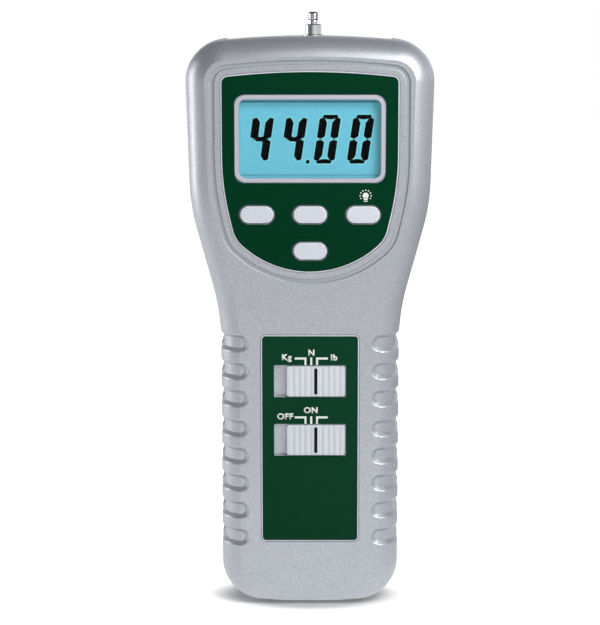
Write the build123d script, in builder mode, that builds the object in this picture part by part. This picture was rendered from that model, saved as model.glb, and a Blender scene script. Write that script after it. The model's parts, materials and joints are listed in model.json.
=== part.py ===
from build123d import *
from math import asin, cos, degrees, hypot, radians, tan
import os

os.makedirs("parts", exist_ok=True)

# Handheld digital force gauge. +X runs to the right of the display, the display faces -Y and +Z runs
# from the foot to the sensing shaft. The origin is the middle of the foot. All sizes are millimetres.

# ---------------------------------------------------------------- driving dimensions: case
case_depth = 45.0          # knob crests to the back
head_width = 90.8          # between its virtual upper corners; 90 across once they are rounded
head_taper = 1.6           # how much each side of the head draws in on its way down to the shoulder
grip_width = 66.0
grip_length = 108.8        # foot to the corner where the waist begins
waist_length = 39.5        # that corner to the shoulder corner
head_length = 58.4         # shoulder corner to the upper corner
foot_land = 20.0           # width of the flat that the gauge stands on
foot_rise = 1.8            # how far the foot climbs from the flat to the corner
foot_ease = 60.0           # radius that eases the flat into the climb
foot_corner = 16.0
waist_hollow = 82.0        # concave radius into the grip
shoulder_round = 72.0      # convex radius into the head
head_corner = 15.0
crown_rise = 4.2           # virtual peak of the crown above the upper corners
ridge_tail = 0.6           # straight left between an arc over a peak and the next round

wall = 2.8
shell_step = 0.4           # the rear shell stands proud of the front shell all round
flush_half = 30.5          # except over the middle of the crown, where the two are flush
parting_y = 1.0            # plane where the shells meet
front_round = 10.5         # radius of the band round the front
rear_round = 8.0
crease_drop = 0.55         # each face cuts its band this far down, which leaves a soft crease
tongue_height = 1.5
tongue_play = 0.15
ring_width = 1.4           # engraved ring round the upper panel
ring_depth = 0.8
ring_lip = 0.35
ring_gap = 3.2             # overlay edge to the middle of the ring

# ---------------------------------------------------------------- driving dimensions: finger grooves
groove_floor = 3.7
groove_mouth = 6.2
groove_depth = 1.3
groove_lip_round = 1.0
groove_lip_slope = 8.0     # degrees at which the lip leaves the surface
groove_pitch = 10.2
groove_break = 11.1        # wider space between the upper three and the lower five
grooves_above = 3
grooves_below = 5
groove_top_drop = 9.6      # from the waist corner down to the first groove

# ---------------------------------------------------------------- driving dimensions: panels
overlay_thickness = 0.3
overlay_pocket = 0.4
overlay_play = 0.15
pocket_wall_slope = 35.0   # degrees off square
shield_side_gap = 13.8     # virtual side of the head to the upper overlay
shield_corner_drop = 14.6  # crown to its upper corners
shield_crown_rise = 3.5    # those corners to its virtual peak
shield_top_corner = 2.5
shield_side_rise = 7.5     # shoulder corner to where the sides begin to draw in
shield_side_radius = 95.0
shield_low_inset = 4.6     # how far the sides have drawn in where they turn into the base
shield_low_drop = 11.5
shield_low_radius = 11.0
shield_base_drop = 35.2    # shoulder corner to the virtual point of the base
label_width = 35.3         # lower overlay
label_length = 76.7
label_foot = 25.4
label_corner = 1.5

# ---------------------------------------------------------------- driving dimensions: display
window_side_gap = 6.35     # upper overlay's side to the window
window_height = 27.9
window_corner = 2.5
bezel_width = 1.55         # rim of the front shell left standing round the window
bezel_corner = 3.6
window_rise = 24.6         # shoulder corner to the middle of the window
window_recess = 1.3
window_lap = 1.8           # how far the window reaches past its opening
lcd_side_lap = 3.75        # window to the edges of the liquid crystal glass
lcd_end_lap = 4.05
lcd_thickness = 2.0
backlight_margin = 3.3     # glass past the backlight at top and bottom
zebra_height = 2.0
zebra_margin = 3.0
holder_wall = 1.9
holder_play = 0.1

# ---------------------------------------------------------------- driving dimensions: buttons
button_width = 12.1
button_height = 6.2
button_side_gap = 12.6     # upper overlay's side to the middle of the outer buttons
button_proud = 0.5
button_crown = 0.45
button_play = 0.3
button_flange = 1.1
button_flange_thickness = 1.0
button_travel = 0.8
button_row_drop = 2.4      # below the shoulder corner
reverse_drop = 15.5
rim_show = 0.1             # shell left showing round each button
stem_radius = 1.6
key_size = 6.0
key_height = 3.5
plunger_radius = 1.7
plunger_play = 0.1
plunger_sunk = 0.4

# ---------------------------------------------------------------- driving dimensions: slide switches
slot_width = 25.8
slot_height = 11.5
slot_corner = 0.4
slot_floor_depth = 1.6
knob_width = 21.1
knob_height = 11.1
knob_corner = 0.8
knob_edge = 0.3
knob_proud = 0.6
knob_step = 2.1            # between two positions
knob_sweep = 2 * knob_step
unit_switch_z = 85.3
power_switch_z = 63.5
rib_pitch = 2.1
ribs_each_side = 4
rib_cutter = 0.9
rib_depth = 0.3
index_width = 0.9
index_depth = 0.3
knob_stem_width = 7.0
knob_stem_height = 3.4
knob_stem_length = 3.0
knob_barb = 0.7
knob_barb_height = 0.8
slider_width = 3.0
slider_height = 1.6
slider_reach = 2.2
switch_width = 18.0
switch_height = 7.0
switch_depth = 4.0
slide_play = 0.3

# ---------------------------------------------------------------- driving dimensions: load path
shaft_x = 1.2
shaft_radius = 3.0
shaft_collar_top = 3.7     # above the crown
undercut_radius = 1.8
undercut_length = 1.4
tip_radius = 2.0
tip_length = 3.0
tip_chamfer = 0.3
stud_radius = 2.0
bush_radius = 3.7
bush_flange_radius = 3.95
bush_flange = 0.4
bush_collar_radius = 5.2
bush_collar = 1.4
bush_play = 0.3
fit_gap = 0.05             # round fixed pieces in their holes
beam_end_gap = 0.2         # edge of the chassis to the beam
beam_height = 14.0
beam_depth = 12.0
beam_top_drop = 28.0       # below the crown
beam_free_end = 8.0        # past the shaft
flexure_radius = 3.2
flexure_spacing = 7.6
flexure_slot = 1.0
block_width = 16.0
chassis_side_gap = 10.4    # virtual side of the head to the chassis
chassis_height = 46.0
chassis_rise = 13.2        # shoulder corner to the middle of the chassis
chassis_thickness = 3.0
chassis_corner = 4.0
chassis_standoff = 2.0
chassis_screw_margin = 4.0
chassis_upper_half = 12.0  # half the spacing of its upper screws, clear of the load block
stand_spacing_x = 50.0     # threaded bushes for a test stand
stand_spacing_z = 36.0
stand_bush_radius = 3.2
stand_bore_radius = 1.65   # core of an M4 thread
bush_sunk = 0.1            # below the back
bush_step = 0.5            # shoulder that rests on the chassis
block_screw_inset = 4.0
block_screw_pitch = 8.0
nut_width = 7.0
nut_height = 3.2
stud_show = 1.0            # stud past the nut

# ---------------------------------------------------------------- driving dimensions: board, screws
stack_depth = 6.6          # front wall to the board
board_thickness = 1.6
board_side_gap = 14.4      # virtual side of the head to the board
board_neck_half = 22.0
board_foot = 15.6
board_top_drop = 9.8       # below the crown
board_waist_rise = 27.7    # waist corner to where the board widens
board_corner = 2.0
board_foot_margin = 4.5    # board's edges to its screws
board_side_margin = 5.0
board_end_margin = 3.0
board_screw_radius = 1.25
board_screw_head = 2.3
board_screw_head_height = 1.6
board_screw_length = 6.0
board_boss_radius = 2.5
screw_radius = 1.5
screw_head_radius = 2.8
screw_head_height = 2.2
screw_reach = 9.0          # into the front shell
screw_well = 9.0           # depth of the wells in the back
foot_screw_inset = 12.5    # side of the grip to the screws
foot_screw_z = 10.5
waist_screw_inset = 3.5
waist_screw_rise = 22.0
head_screw_inset = 9.4     # virtual side of the head to the screws
head_screw_drop = 19.6
front_boss_radius = 3.5
rear_boss_radius = 4.5
screw_head_play = 0.3
chip_height = 1.5
processor_side = 14.0
amplifier_width = 6.2
amplifier_length = 10.0
processor_rise = 6.0       # from the waist corner
amplifier_drop = 24.0
amplifier_offset = 9.0

# ---------------------------------------------------------------- driving dimensions: battery
cell_radius = 7.25
cell_length = 50.5
cell_nub_radius = 2.6
cell_nub = 1.2
cell_pitch = 15.0
cell_columns = 3
cell_end_gap = 2.6
cell_middle_gap = 1.8
cell_float = 0.3
cell_back_gap = 1.2        # cells to the cover
tray_wall = 1.5
tray_foot = 15.2
contact_thickness = 0.4
contact_width = 9.0
contact_stub_radius = 2.2
cover_thickness = 1.8
cover_corner = 4.0
cover_lap = 2.0
cover_play = 0.15
cover_post_radius = 3.0
cover_end_lap = 6.7        # cover past the compartment, where its screws are
cover_screw_length = 8.0
countersink_radius = 2.8

# ---------------------------------------------------------------- driving dimensions: jacks
jack_offset = 9.0
jack_width = 9.0
jack_body_depth = 10.0
jack_length = 13.0
jack_nose_radius = 3.4
jack_recess = 0.8
signal_bore = 1.8
signal_bore_depth = 13.0
dc_bore = 2.8
dc_bore_depth = 10.0
dc_pin = 1.0
jack_foot_gap = 0.8        # jack body to the foot wall

# ---------------------------------------------------------------- rounding over a peak
def turn_at(before, corner, after):
    """How far a path turns at a corner, in radians."""
    inward = Vector(*corner) - Vector(*before)
    onward = Vector(*after) - Vector(*corner)
    return radians(inward.get_angle(onward))


def ridge_radius(corners, peak):
    """Radius of the arc over a peak on the centre line that ends just short of its neighbour's round."""
    (neighbour, rounding), (beyond, _) = corners
    mirrored = (-neighbour[0], neighbour[1])
    run = Vector(*peak) - Vector(*neighbour)
    taken = rounding * tan(turn_at(beyond, neighbour, peak) / 2)
    return (run.length - taken - ridge_tail) / tan(turn_at(mirrored, peak, neighbour) / 2)


# ---------------------------------------------------------------- places worked out from the above
back_y = case_depth / 2
knob_front_y = -case_depth / 2
face_y = knob_front_y + knob_proud
inside_front_y = face_y + wall
inside_back_y = back_y - wall
waist_z = grip_length
shoulder_z = waist_z + waist_length
corner_z = shoulder_z + head_length
crown_peak = (0, corner_z + crown_rise)
case_corners = [
    ((foot_land / 2, -shell_step), foot_ease),
    ((grip_width / 2, foot_rise - shell_step), foot_corner),
    ((grip_width / 2, waist_z), waist_hollow),
    ((head_width / 2 - head_taper, shoulder_z), shoulder_round),
    ((head_width / 2, corner_z), head_corner),
]
crown_radius = ridge_radius(case_corners[:-3:-1], crown_peak)
crown_sag = crown_radius * (hypot(1, crown_rise / (head_width / 2)) - 1)
crown_z = crown_peak[1] - crown_sag
front_crown_z = crown_z - shell_step
shield_half = head_width / 2 - shield_side_gap
button_pitch = shield_half - button_side_gap
window_width = 2 * (shield_half - window_side_gap)
lcd_width = window_width + 2 * lcd_side_lap
lcd_height = window_height + 2 * lcd_end_lap
backlight_height = lcd_height - 2 * backlight_margin
zebra_width = lcd_width - 2 * zebra_margin
shield_corners = [
    ((shield_half - shield_low_inset, shoulder_z - shield_low_drop), shield_low_radius),
    ((shield_half, shoulder_z + shield_side_rise), shield_side_radius),
    ((shield_half, crown_z - shield_corner_drop), shield_top_corner),
]
shield_peak = (0, crown_z - shield_corner_drop + shield_crown_rise)
shield_base = (0, shoulder_z - shield_base_drop)
shield_crown_radius = ridge_radius(shield_corners[:-3:-1], shield_peak)
shield_base_radius = ridge_radius(shield_corners[:2], shield_base)

board_front_y = inside_front_y + stack_depth
board_back_y = board_front_y + board_thickness
board_head_half = head_width / 2 - board_side_gap
board_waist_z = waist_z + board_waist_rise
board_top_z = crown_z - board_top_drop
window_z = shoulder_z + window_rise
window_front_y = face_y + window_recess
lcd_back_y = inside_front_y + lcd_thickness
button_row_z = shoulder_z - button_row_drop
reverse_z = shoulder_z - reverse_drop
slot_floor_y = face_y + slot_floor_depth
shaft_y = parting_y
beam_top_z = crown_z - beam_top_drop
beam_mid_z = beam_top_z - beam_height / 2
beam_front_y = shaft_y - beam_depth / 2
beam_back_y = shaft_y + beam_depth / 2
beam_right_x = shaft_x + beam_free_end
chassis_back_y = inside_back_y - chassis_standoff
chassis_front_y = chassis_back_y - chassis_thickness
chassis_z = shoulder_z + chassis_rise
chassis_width = head_width - 2 * chassis_side_gap
beam_left_x = beam_end_gap - chassis_width / 2
flexure_x = (beam_left_x + block_width + shaft_x - shaft_radius) / 2

compartment_length = 2 * cell_length + 2 * cell_end_gap + cell_middle_gap
compartment_width = cell_columns * cell_pitch
compartment_foot = tray_foot + tray_wall
compartment_z = compartment_foot + compartment_length / 2
cover_front_y = back_y - cover_thickness
cover_width = compartment_width + 2 * cover_lap
cover_length = compartment_length + 2 * (tray_wall + cover_end_lap)
cell_y = cover_front_y - cell_back_gap - cell_radius
tray_back_y = inside_back_y
tray_floor_y = cell_y - cell_radius - cell_float
cover_screw_offset = compartment_length / 2 + tray_wall + cover_post_radius + cover_play

button_places = {
    "response": (-button_pitch, button_row_z),
    "zero": (0, button_row_z),
    "backlight": (button_pitch, button_row_z),
    "display_reverse": (0, reverse_z),
}
switch_places = {"unit": unit_switch_z, "power": power_switch_z}
groove_top_z = waist_z - groove_top_drop
upper_grooves = [groove_top_z - i * groove_pitch for i in range(grooves_above)]
lower_grooves = [upper_grooves[-1] - groove_break - i * groove_pitch for i in range(grooves_below)]
groove_heights = upper_grooves + lower_grooves
stand_places = [
    (sx * stand_spacing_x / 2, chassis_z + sz * stand_spacing_z / 2) for sx in (-1, 1) for sz in (-1, 1)
]
chassis_screw_places = [
    (sx * x, chassis_z + rise)
    for sx in (-1, 1)
    for x, rise in (
        (chassis_width / 2 - chassis_screw_margin, -chassis_height / 4),
        (chassis_upper_half, chassis_height / 2 - chassis_screw_margin),
    )
]
case_screw_places = [
    (sx * x, z)
    for sx in (-1, 1)
    for x, z in (
        (grip_width / 2 - foot_screw_inset, foot_screw_z),
        (grip_width / 2 - waist_screw_inset, waist_z + waist_screw_rise),
        (head_width / 2 - head_screw_inset, crown_z - head_screw_drop),
    )
]
board_screw_places = [
    (sx * x, z)
    for sx in (-1, 1)
    for x, z in (
        (board_neck_half - board_foot_margin, board_foot + board_foot_margin),
        (board_head_half - board_side_margin, board_waist_z + board_end_margin),
        (board_head_half - board_side_margin, board_top_z - board_end_margin),
    )
]
block_screw_places = [
    (beam_left_x + block_screw_inset, beam_mid_z), (beam_left_x + block_screw_inset + block_screw_pitch, beam_mid_z)
]
cover_screw_places = [(0, compartment_z - cover_screw_offset), (0, compartment_z + cover_screw_offset)]


# ---------------------------------------------------------------- shared forms
def face_at(y):
    """Plane parallel to the display at depth y: local x is +X, local y is +Z, extrude goes forward."""
    return Plane.XZ.offset(-y)


def rounded_outline(right, peak, grow, base=()):
    """Closed outline, the same on both sides of x = 0, from the corners of its right half."""
    left = [((-x, z), radius) for (x, z), radius in reversed(right)]
    corners = [*base, *right, peak, *left]
    with BuildSketch() as outline:
        with BuildLine():
            FilletPolyline(*[point for point, _ in corners], radius=[r for _, r in corners], close=True)
        make_face()
        if grow:
            offset(amount=grow, kind=Kind.INTERSECTION)
    return outline.sketch


def case_outline(inset):
    """Front view of the case: foot, straight grip, waist, shouldered head and arched crown."""
    return rounded_outline(case_corners, (crown_peak, crown_radius), -inset)


def cushion(inset, base_y, end_y, edge_round):
    """Half of the case form, from the parting plane to a face whose edge is rounded over."""
    forward = 1 if end_y < base_y else -1
    with BuildPart() as form:
        with BuildSketch(face_at(base_y)):
            add(case_outline(inset))
        extrude(amount=forward * (abs(base_y - end_y) + crease_drop))
        fillet(form.faces().sort_by(Axis.Y)[0 if forward > 0 else -1].edges(), edge_round)
        split(bisect_by=face_at(end_y), keep=Keep.BOTTOM if forward > 0 else Keep.TOP)
    return form.part


def shield_outline(grow):
    """Upper panel: arched top, straight sides that bend in, round base."""
    base = [(shield_base, shield_base_radius)]
    return rounded_outline(shield_corners, (shield_peak, shield_crown_radius), grow, base)


def label_outline(grow):
    """Lower panel: a tall rectangle with small round corners."""
    with BuildSketch() as outline:
        with Locations((0, label_foot + label_length / 2)):
            RectangleRounded(label_width + 2 * grow, label_length + 2 * grow, label_corner + grow)
    return outline.sketch


def pills(places, grow):
    """Button outlines at the given places."""
    with BuildSketch() as outline:
        with Locations(*places):
            SlotOverall(button_width + 2 * grow, button_height + 2 * grow)
    return outline.sketch


def switch_openings(grow):
    """Both slide switch windows in the lower panel."""
    with BuildSketch() as outline:
        with Locations(*[(0, z) for z in switch_places.values()]):
            RectangleRounded(slot_width + 2 * grow, slot_height + 2 * grow, slot_corner + grow)
    return outline.sketch


def groove_profile():
    """Right half of a finger groove's section: floor, sloping wall and rounded lip, with its open top."""
    lip_run = 1.6
    lip_rise = lip_run * tan(radians(groove_lip_slope))
    lip = (groove_mouth / 2, -lip_rise / 4)
    rim = (lip[0] + lip_run, lip[1] + lip_rise)
    floor = (groove_floor / 2, -groove_depth)
    with BuildSketch() as section:
        with BuildLine():
            FilletPolyline(floor, lip, rim, radius=groove_lip_round)
            Polyline(rim, (rim[0], 1), (0, 1), (0, -groove_depth), floor)
        make_face()
    return section.sketch


def finger_groove(half_width, end_y, edge_round):
    """One groove and its mirror twin: down the side of a shell, over its band, with a round end on its face."""
    toward = -1 if end_y < parting_y else 1
    band_x = half_width - edge_round
    band_y = end_y - toward * (edge_round - crease_drop)
    sweep_angle = degrees(asin((edge_round - crease_drop) / edge_round))
    crease_x = band_x + edge_round * cos(radians(sweep_angle))
    with BuildPart() as groove:
        with BuildLine() as path:
            Line((half_width, parting_y - toward * 0.5), (half_width, band_y))
            CenterArc((band_x, band_y), edge_round, 0, toward * sweep_angle)
        with BuildSketch(Plane(path.line @ 0, x_dir=(0, 0, toward), z_dir=path.line % 0)):
            add(groove_profile())
            mirror(about=Plane.YZ)
        sweep(path=path.wire())
        with BuildSketch(Plane((crease_x, end_y, 0), x_dir=(1, 0, 0), z_dir=(0, 0, toward))):
            add(groove_profile())
        revolve(axis=Axis((crease_x, end_y, 0), (0, 1, 0)))
        mirror(about=Plane.YZ)
    return groove.part


def finish(piece, name):
    """Labels a finished piece and writes its STEP file."""
    piece.part.label = name
    export_step(piece.part, f"parts/{name}.step")


# ---------------------------------------------------------------- front shell
front_form = cushion(shell_step, parting_y, face_y, front_round)
front_cavity = cushion(shell_step + wall, parting_y, inside_front_y, front_round - wall)
front_groove = finger_groove(grip_width / 2 - shell_step, face_y, front_round)

# bosses for the case screws reach the parting plane, those for the board stop at the board
with BuildPart() as front_bosses:
    with BuildSketch(face_at(parting_y)):
        with Locations(*case_screw_places):
            Circle(front_boss_radius)
    extrude(amount=parting_y - face_y)
    with BuildSketch(face_at(board_front_y)):
        with Locations(*board_screw_places):
            Circle(board_boss_radius)
    extrude(amount=board_front_y - face_y)
    add(
        cushion(shell_step + wall / 2, parting_y, face_y + wall / 2, front_round - wall / 2), mode=Mode.INTERSECT
    )

with BuildPart() as front_case:
    add(front_form)
    # engraved ring with rounded lips
    with BuildSketch(face_at(face_y + ring_depth)):
        add(shield_outline(ring_gap + ring_width / 2))
        add(shield_outline(ring_gap - ring_width / 2), mode=Mode.SUBTRACT)
    extrude(amount=ring_depth, mode=Mode.SUBTRACT)
    front_faces = front_case.faces().filter_by(Axis.Y).group_by(Axis.Y)[0]
    lips = [wire for face in front_faces for wire in (face.inner_wires() or [face.outer_wire()])]
    fillet([edge for wire in lips for edge in wire.edges()], ring_lip)
    add(front_cavity, mode=Mode.SUBTRACT)
    add(front_bosses.part)
    with BuildSketch(face_at(parting_y)):
        with Locations(*case_screw_places):
            Circle(screw_radius + fit_gap)
    extrude(amount=screw_reach + 1, mode=Mode.SUBTRACT)
    with BuildSketch(face_at(board_front_y)):
        with Locations(*board_screw_places):
            Circle(board_screw_radius + fit_gap)
    extrude(amount=board_screw_length, mode=Mode.SUBTRACT)
    # shallow pockets for the two overlays, with the display's rim left standing
    with BuildSketch(face_at(face_y + overlay_pocket)):
        add(shield_outline(overlay_play))
        with Locations((0, window_z)):
            RectangleRounded(
                window_width + 2 * bezel_width, window_height + 2 * bezel_width, bezel_corner, mode=Mode.SUBTRACT
            )
        add(label_outline(overlay_play))
    extrude(amount=overlay_pocket, taper=-pocket_wall_slope, mode=Mode.SUBTRACT)
    # display opening, and the seat that the window is glued into from inside
    with BuildSketch(face_at(inside_front_y)):
        with Locations((0, window_z)):
            RectangleRounded(window_width, window_height, window_corner)
    extrude(amount=wall, mode=Mode.SUBTRACT)
    with BuildSketch(face_at(inside_front_y)):
        with Locations((0, window_z)):
            Rectangle(window_width + 2 * (window_lap + fit_gap), window_height + 2 * (window_lap + fit_gap))
    extrude(amount=inside_front_y - window_front_y, mode=Mode.SUBTRACT)
    # button openings
    with BuildSketch(face_at(inside_front_y)):
        add(pills(button_places.values(), button_play))
    extrude(amount=wall, mode=Mode.SUBTRACT)
    # slide switch recesses, each with a slot in its floor for the knob's stem
    with BuildSketch(face_at(slot_floor_y)):
        add(switch_openings(0))
    extrude(amount=slot_floor_depth, mode=Mode.SUBTRACT)
    with BuildSketch(face_at(inside_front_y)):
        with Locations(*[(0, z) for z in switch_places.values()]):
            Rectangle(knob_stem_width + knob_sweep + 2 * slide_play, knob_stem_height + 2 * slide_play)
    extrude(amount=wall, mode=Mode.SUBTRACT)
    # finger grooves
    with Locations(*[(0, 0, z) for z in groove_heights]):
        add(front_groove, mode=Mode.SUBTRACT)
    # rabbet for the rear shell's tongue
    with BuildSketch(face_at(parting_y)):
        add(case_outline(shell_step + wall / 2))
        add(case_outline(shell_step + wall + 1), mode=Mode.SUBTRACT)
    extrude(amount=tongue_height + tongue_play, mode=Mode.SUBTRACT)
    # half of the hole for the shaft bush, and the holes for the jacks
    with BuildSketch(Plane.XY.offset(crown_z - wall - 3)):
        with Locations((shaft_x, shaft_y)):
            Circle(bush_radius + fit_gap)
    extrude(amount=wall + 6, mode=Mode.SUBTRACT)
    with BuildSketch(Plane.XY):
        with Locations(
            (-jack_offset, board_back_y + jack_body_depth / 2), (jack_offset, board_back_y + jack_body_depth / 2)
        ):
            Circle(jack_nose_radius + fit_gap)
    extrude(amount=wall + 2, mode=Mode.SUBTRACT)
finish(front_case, "front_case")

# ---------------------------------------------------------------- rear shell
rear_form = cushion(0, parting_y, back_y, rear_round)
rear_cavity = cushion(wall, parting_y, inside_back_y, rear_round - wall)
rear_groove = finger_groove(grip_width / 2, back_y, rear_round)

with BuildPart() as rear_bosses:
    with BuildSketch(face_at(back_y)):
        with Locations(*case_screw_places):
            Circle(rear_boss_radius)
    extrude(amount=back_y - parting_y)
    add(cushion(wall / 2, parting_y, back_y - wall / 2, rear_round - wall / 2), mode=Mode.INTERSECT)

with BuildPart() as rear_case:
    add(rear_form)
    split(bisect_by=Plane.XY, keep=Keep.TOP)
    add(rear_cavity, mode=Mode.SUBTRACT)
    add(rear_bosses.part)
    # tongue that stands into the front shell's rabbet
    with BuildSketch(face_at(parting_y)):
        add(case_outline(shell_step + wall / 2 + tongue_play))
        add(case_outline(shell_step + wall), mode=Mode.SUBTRACT)
    extrude(amount=tongue_height)
    with BuildSketch(face_at(parting_y)):
        add(case_outline(shell_step + wall / 2 + tongue_play))
        add(case_outline(shell_step + wall), mode=Mode.SUBTRACT)
    extrude(amount=-tongue_height)
    # pads for the chassis and posts for the cover screws
    with BuildSketch(face_at(inside_back_y)):
        with Locations(*chassis_screw_places):
            Circle(rear_boss_radius)
    extrude(amount=chassis_standoff)
    with BuildSketch(face_at(inside_back_y)):
        with Locations(*cover_screw_places):
            Circle(cover_post_radius)
    extrude(amount=cover_screw_length)
    # pocket for the battery cover, and the mouth of the battery compartment in its floor
    with BuildSketch(face_at(back_y)):
        with Locations((0, compartment_z)):
            RectangleRounded(cover_width + 2 * cover_play, cover_length + 2 * cover_play, cover_corner)
    extrude(amount=cover_thickness, mode=Mode.SUBTRACT)
    with BuildSketch(face_at(back_y)):
        with Locations((0, compartment_z)):
            Rectangle(compartment_width, compartment_length)
    extrude(amount=wall, mode=Mode.SUBTRACT)
    # wells and holes for the case screws
    with BuildSketch(face_at(back_y)):
        with Locations(*case_screw_places):
            Circle(screw_head_radius + screw_head_play)
    extrude(amount=screw_well, mode=Mode.SUBTRACT)
    with BuildSketch(face_at(back_y)):
        with Locations(*case_screw_places):
            Circle(screw_radius + fit_gap)
    extrude(amount=back_y - parting_y, mode=Mode.SUBTRACT)
    with BuildSketch(face_at(back_y)):
        with Locations(*cover_screw_places):
            Circle(screw_radius + fit_gap)
    extrude(amount=cover_thickness + cover_screw_length, mode=Mode.SUBTRACT)
    with BuildSketch(face_at(chassis_back_y)):
        with Locations(*chassis_screw_places):
            Circle(board_screw_radius + fit_gap)
    extrude(amount=-board_screw_length + chassis_thickness, mode=Mode.SUBTRACT)
    with BuildSketch(face_at(back_y)):
        with Locations(*stand_places):
            Circle(stand_bush_radius + fit_gap)
    extrude(amount=wall, mode=Mode.SUBTRACT)
    with Locations(*[(0, 0, z) for z in groove_heights]):
        add(rear_groove, mode=Mode.SUBTRACT)
    # the middle of the crown is flush with the front shell, and half of it is cut for the shaft bush
    with BuildSketch(face_at(back_y)):
        with Locations((0, crown_z)):
            Rectangle(2 * flush_half, 2 * wall)
        add(case_outline(shell_step), mode=Mode.SUBTRACT)
    extrude(amount=back_y - parting_y, mode=Mode.SUBTRACT)
    with BuildSketch(Plane.XY.offset(crown_z - wall - 3)):
        with Locations((shaft_x, shaft_y)):
            Circle(bush_radius + fit_gap)
    extrude(amount=wall + 6, mode=Mode.SUBTRACT)
finish(rear_case, "rear_case")

with BuildPart() as case_screws:
    with BuildSketch(face_at(back_y - screw_well)):
        with Locations(*case_screw_places):
            Circle(screw_radius)
    extrude(amount=back_y - screw_well - parting_y + screw_reach)
    with BuildSketch(face_at(back_y - screw_well)):
        with Locations(*case_screw_places):
            Circle(screw_head_radius)
    extrude(amount=-screw_head_height)
finish(case_screws, "case_screws")

# ---------------------------------------------------------------- overlays and window
with BuildPart() as upper_overlay:
    with BuildSketch(face_at(face_y + overlay_pocket)):
        add(shield_outline(0))
        with Locations((0, window_z)):
            RectangleRounded(
                window_width + 2 * (bezel_width + overlay_play),
                window_height + 2 * (bezel_width + overlay_play),
                bezel_corner + overlay_play,
                mode=Mode.SUBTRACT,
            )
        add(pills(button_places.values(), button_play + rim_show), mode=Mode.SUBTRACT)
    extrude(amount=overlay_thickness)
finish(upper_overlay, "upper_overlay")

with BuildPart() as lower_overlay:
    with BuildSketch(face_at(face_y + overlay_pocket)):
        add(label_outline(0))
        add(switch_openings(overlay_play), mode=Mode.SUBTRACT)
    extrude(amount=overlay_thickness)
finish(lower_overlay, "lower_overlay")

with BuildPart() as display_window:
    with BuildSketch(face_at(inside_front_y)):
        with Locations((0, window_z)):
            Rectangle(window_width + 2 * window_lap, window_height + 2 * window_lap)
    extrude(amount=inside_front_y - window_front_y)
finish(display_window, "display_window")

# ---------------------------------------------------------------- display stack
with BuildPart() as lcd_glass:
    with BuildSketch(face_at(lcd_back_y)):
        with Locations((0, window_z)):
            Rectangle(lcd_width, lcd_height)
    extrude(amount=lcd_thickness)
finish(lcd_glass, "lcd_glass")

with BuildPart() as backlight_panel:
    with BuildSketch(face_at(board_front_y)):
        with Locations((0, window_z)):
            Rectangle(lcd_width, backlight_height)
    extrude(amount=board_front_y - lcd_back_y)
finish(backlight_panel, "backlight_panel")

zebra_offset = (backlight_height / 2 + lcd_height / 2) / 2
with BuildPart() as elastomer_connectors:
    with BuildSketch(face_at(board_front_y)):
        with Locations((0, window_z - zebra_offset), (0, window_z + zebra_offset)):
            Rectangle(zebra_width, zebra_height)
    extrude(amount=board_front_y - lcd_back_y)
finish(elastomer_connectors, "elastomer_connectors")

with BuildPart() as lcd_holder:
    with BuildSketch(face_at(board_front_y)):
        with Locations((0, window_z)):
            RectangleRounded(
                lcd_width + 2 * (holder_play + holder_wall), lcd_height + 2 * (holder_play + holder_wall), holder_wall
            )
            Rectangle(lcd_width + 2 * holder_play, lcd_height + 2 * holder_play, mode=Mode.SUBTRACT)
    extrude(amount=board_front_y - inside_front_y)
finish(lcd_holder, "lcd_holder")

# ---------------------------------------------------------------- buttons, each over a key switch
flange_back_y = inside_front_y + button_flange_thickness
key_front_y = board_front_y - key_height
plunger_front_y = key_front_y - button_travel - 0.2
for name, place in button_places.items():
    with BuildPart() as button:
        with BuildSketch(face_at(inside_front_y)):
            add(pills([place], 0))
        extrude(amount=inside_front_y - face_y + button_proud)
        fillet(button.faces().sort_by(Axis.Y)[0].edges(), button_crown)
        with BuildSketch(face_at(flange_back_y)):
            add(pills([place], button_flange))
        extrude(amount=button_flange_thickness)
        with BuildSketch(face_at(plunger_front_y)):
            with Locations(place):
                Circle(stem_radius)
        extrude(amount=plunger_front_y - flange_back_y)
    finish(button, f"{name}_button")

    with BuildPart() as plunger:
        with BuildSketch(face_at(key_front_y + plunger_sunk)):
            with Locations(place):
                Circle(plunger_radius)
        extrude(amount=key_front_y + plunger_sunk - plunger_front_y)
    finish(plunger, f"{name}_plunger")

with BuildPart() as key_switches:
    with BuildSketch(face_at(board_front_y)):
        with Locations(*button_places.values()):
            Rectangle(key_size, key_size)
    extrude(amount=key_height)
    with BuildSketch(face_at(key_front_y)):
        with Locations(*button_places.values()):
            Circle(plunger_radius + plunger_play)
    extrude(amount=-(button_travel + plunger_sunk + plunger_play), mode=Mode.SUBTRACT)
finish(key_switches, "key_switches")

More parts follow.
